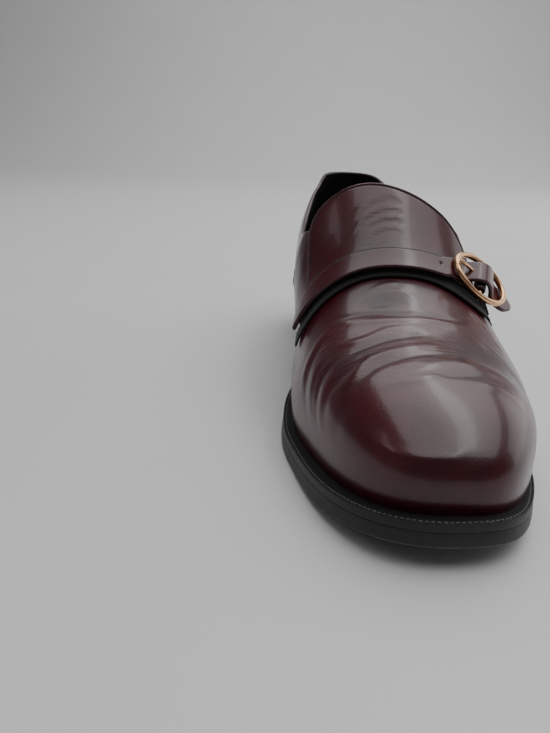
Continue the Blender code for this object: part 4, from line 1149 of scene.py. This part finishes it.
def buildWelt():
    # Rings go up the edge, in over the top with its groove, and down inside the upper
    form = weltForm
    base = soleForm["outsole"] + soleForm["gap"]
    top = base + soleForm["welt"]
    low, high = corner(form["sharp"], base, 5, 1), corner(form["round"], top, 5, -1)
    inset = np.linspace(*form["flat"], 14)
    groove = form["groove"] * bell(inset - form["grooveIn"], form["grooveWidth"])
    profile = np.vstack((low, high, np.column_stack((inset, top - groove))))
    rings = soleRings(profile, weltReach)
    inside = soleRings([(soleForm["weltInside"], base), (soleForm["weltInside"], top)], 0.0)
    rings = np.concatenate((inside[:1], rings, inside[1:]))
    count, edge = rings.shape[1], rings[1 + len(low)]
    run = np.tile(arcLength(np.vstack((edge, edge[:1])))[:-1], len(rings))
    points = rings.reshape(-1, 3)
    quads = gridQuads(len(rings), count, wrapColumns=True, wrapRows=True)
    quads = outwardQuads(points, quads, world(np.append(footLoop.mean(axis=0), 0.02)))
    above = np.concatenate((np.zeros(1 + len(low)), np.linspace(0, 1, len(high)), inset > 0, [0]))
    wheel = above * bell(np.concatenate(([0], profile[:, 0], [0])), form["wheelWidth"], 4)
    marks = {"run": run, "wheel": np.repeat(wheel, count), "above": np.repeat(above, count)}
    addPiece("weltSkin", points, quads, weltLook, "edge_black", "welt", marks=marks, smoothAngle=50)
    path = soleRings([(form["grooveIn"], top - form["groove"])], weltReach)[0]
    path = np.vstack((path, path[:1]))
    up = np.broadcast_to((0.0, 0.0, 1.0), path.shape)
    addStitches("weltStitches", path, up, form["stitch"], weltThread, "edge_black")


def heelOutline(inset, z):
    # The sole's edge round the heel, closed by the breast: heel - curve * (1 - share^2)
    outline = offsetLoop(footLoop, weltReach + soleForm["flare"] - soleForm["heelInset"] - inset)
    half = len(outline) // 2
    heel = soleForm["heelLength"]
    sides = []
    for side in (outline[:half + 1], np.roll(outline[::-1], 1, axis=0)[:half + 1]):
        behind = side[side[:, 1] < heel]
        corner = (np.interp(heel, side[:, 1], side[:, 0]), heel)
        sides.append(resample(np.vstack((behind, corner)), 70))
    medial, lateral = sides
    share = np.linspace(-1, 1, 26)[1:-1]
    middle, reach = (medial[-1, 0] + lateral[-1, 0]) / 2, (lateral[-1, 0] - medial[-1, 0]) / 2
    breast = np.stack((middle + share * reach, heel - soleForm["breastCurve"] * (1 - share ** 2)), axis=1)
    plan = np.vstack((medial, breast, lateral[:0:-1]))
    return world(np.column_stack((plan, np.full(len(plan), z))))


def buildHeel():
    # The edge of each lift is bevelled, so that fine lines run round between them
    form = heelForm
    top, seam = soleForm["heelHeight"] - soleForm["gap"], soleForm["topPiece"]
    for name, look, slot, node, low, high, lifts in (
        ("heelStackSkin", heelLook, "edge_black", "heel_stack", seam + soleForm["gap"], top, form["lifts"]),
        ("heelTopSkin", rubberLook, "rubber", "heel_top_piece", 0.0, seam, 1),
    ):
        step = (high - low) / lifts
        levels = []
        for z in low + step * np.arange(lifts):
            levels += [(z, form["dent"])]
            levels += [(h, 0.0) for h in (z + form["bevel"], z + step / 2, z + step - form["bevel"])]
        levels.append((high, form["dent"]))
        rings = np.array([
            heelOutline(soleForm["heelTaper"] * (1 - z / top) + dent, z) for z, dent in levels
        ])
        count = rings.shape[1]
        points = rings.reshape(-1, 3)
        middle = points.mean(axis=0)
        quads = outwardQuads(points, gridQuads(len(rings), count, wrapRows=True), middle)
        for first in (0, count * (len(rings) - 1)):
            j, hub = np.arange(count), np.full(count, len(points))
            points = np.vstack((points, points[first:first + count].mean(axis=0)))
            cap = np.stack((j + first, (j + 1) % count + first, hub, hub), axis=1)
            quads = np.concatenate((quads, outwardQuads(points, cap, middle)))
        marks = {"height": np.full(len(points), 0.5)}
        addPiece(name, points, quads, look, slot, node, marks=marks, smoothAngle=40)


buildSole()
buildWelt()
buildHeel()
insole = frame["nodes"]["insole"]
for slot in insole.material_slots:
    slot.material = lining
print("sole made")

# Floor with a sweep behind it, plain, pale and dull
stageForm = {"half": 3.0, "front": -2.2, "back": 1.3, "radius": 0.9, "wall": 2.6}


def buildFloor():
    made, shader, place, add = newMaterial("paleFloor", {"Roughness": 0.6, "IOR": 1.45})
    spots = add("TexNoise", {"Vector": place, "Scale": 9.0, "Detail": 3.0})
    inputs = {0: spots, 6: linear("cfcfd1"), 7: linear("d5d5d6")}
    setInputs(shader, {"Base Color": add("Mix", inputs, 2, data_type="RGBA")})
    turn = np.linspace(0, math.pi / 2, 24)
    radius, back = stageForm["radius"], stageForm["back"]
    y = np.concatenate(([stageForm["front"]], back + radius * np.sin(turn), [back + radius]))
    z = np.concatenate(([0.0], radius * (1 - np.cos(turn)), [stageForm["wall"]]))
    ends = stageForm["half"] * np.array(((-1.0, 0, 0), (1.0, 0, 0)))
    points = np.stack((0 * y, y, z), axis=1)[:, None] + ends
    makeMesh("floor", points.reshape(-1, 3), gridQuads(len(y), 2), made)


def setPlace(thing, right, up, out, place):
    matrix = np.eye(4)
    matrix[:3] = np.column_stack((right, up, out, place))
    thing.matrix_world = Matrix(matrix.tolist())
    bpy.context.scene.collection.objects.link(thing)


# Soft boxes: place, target, power in watts, width and height
lamps = {
    "overhead": ((0.42, 0.36, 1.35), (0.42, 0.36, 0.0), 30.0, (1.9, 2.7)),
    "rightOfTop": ((0.44, 0.2, 1.2), (0.44, 0.2, 0.0), 2.6, (0.13, 1.7)),
    "rightFill": ((1.35, 0.35, 0.45), (0.0, 0.0, 0.2), 5.0, (1.4, 0.9)),
    "leftFill": ((-1.05, -0.38, 0.95), (0.0, -0.13, 0.05), 0.9, (0.5, 0.5)),
}


def addLights():
    for name, (place, target, power, sides) in lamps.items():
        light = bpy.data.lights.new(name, "AREA")
        light.energy, light.shape = power, "RECTANGLE"
        light.size, light.size_y = sides
        out = unit(np.subtract(place, target))
        right = unit(np.cross((0, 1, 0) if abs(out[2]) > 0.95 else (0, 0, 1), out))
        setPlace(bpy.data.objects.new(name, light), right, np.cross(out, right), out, place)
    studio = bpy.data.worlds.new("studio")
    studio.use_nodes = True
    inputs = {"Color": (1.0, 1.0, 1.0, 1.0), "Strength": 0.12}
    setInputs(studio.node_tree.nodes["Background"], inputs)
    bpy.context.scene.world = studio


# Camera at the photo's angle, fitted to the sole's outline
view = {
    "place": (-0.0715, -0.4305, 0.129), "pitch": 0.355, "yaw": 0.062, "roll": 0.036,
    "focal": 646.8, "pixels": 733, "sensor": 36.0,
}


def addCamera():
    pitch, yaw, roll = view["pitch"], view["yaw"], view["roll"]
    right = np.array((math.cos(yaw), -math.sin(yaw), 0.0))
    level = np.array((math.sin(yaw), math.cos(yaw), 0.0))
    forward = level * math.cos(pitch) - np.array((0.0, 0.0, math.sin(pitch)))
    up = np.cross(right, forward)
    across = right * math.cos(roll) + up * math.sin(roll)
    above = up * math.cos(roll) - right * math.sin(roll)
    lens = bpy.data.cameras.new("photoView")
    lens.sensor_fit, lens.sensor_width = "AUTO", view["sensor"]
    lens.lens = view["focal"] / view["pixels"] * view["sensor"]
    lens.clip_start = 0.01
    camera = bpy.data.objects.new("photoView", lens)
    setPlace(camera, across, above, -forward, view["place"])
    bpy.context.scene.camera = camera


buildFloor()
addLights()
addCamera()
print("stage made")

bpy.context.view_layer.update()
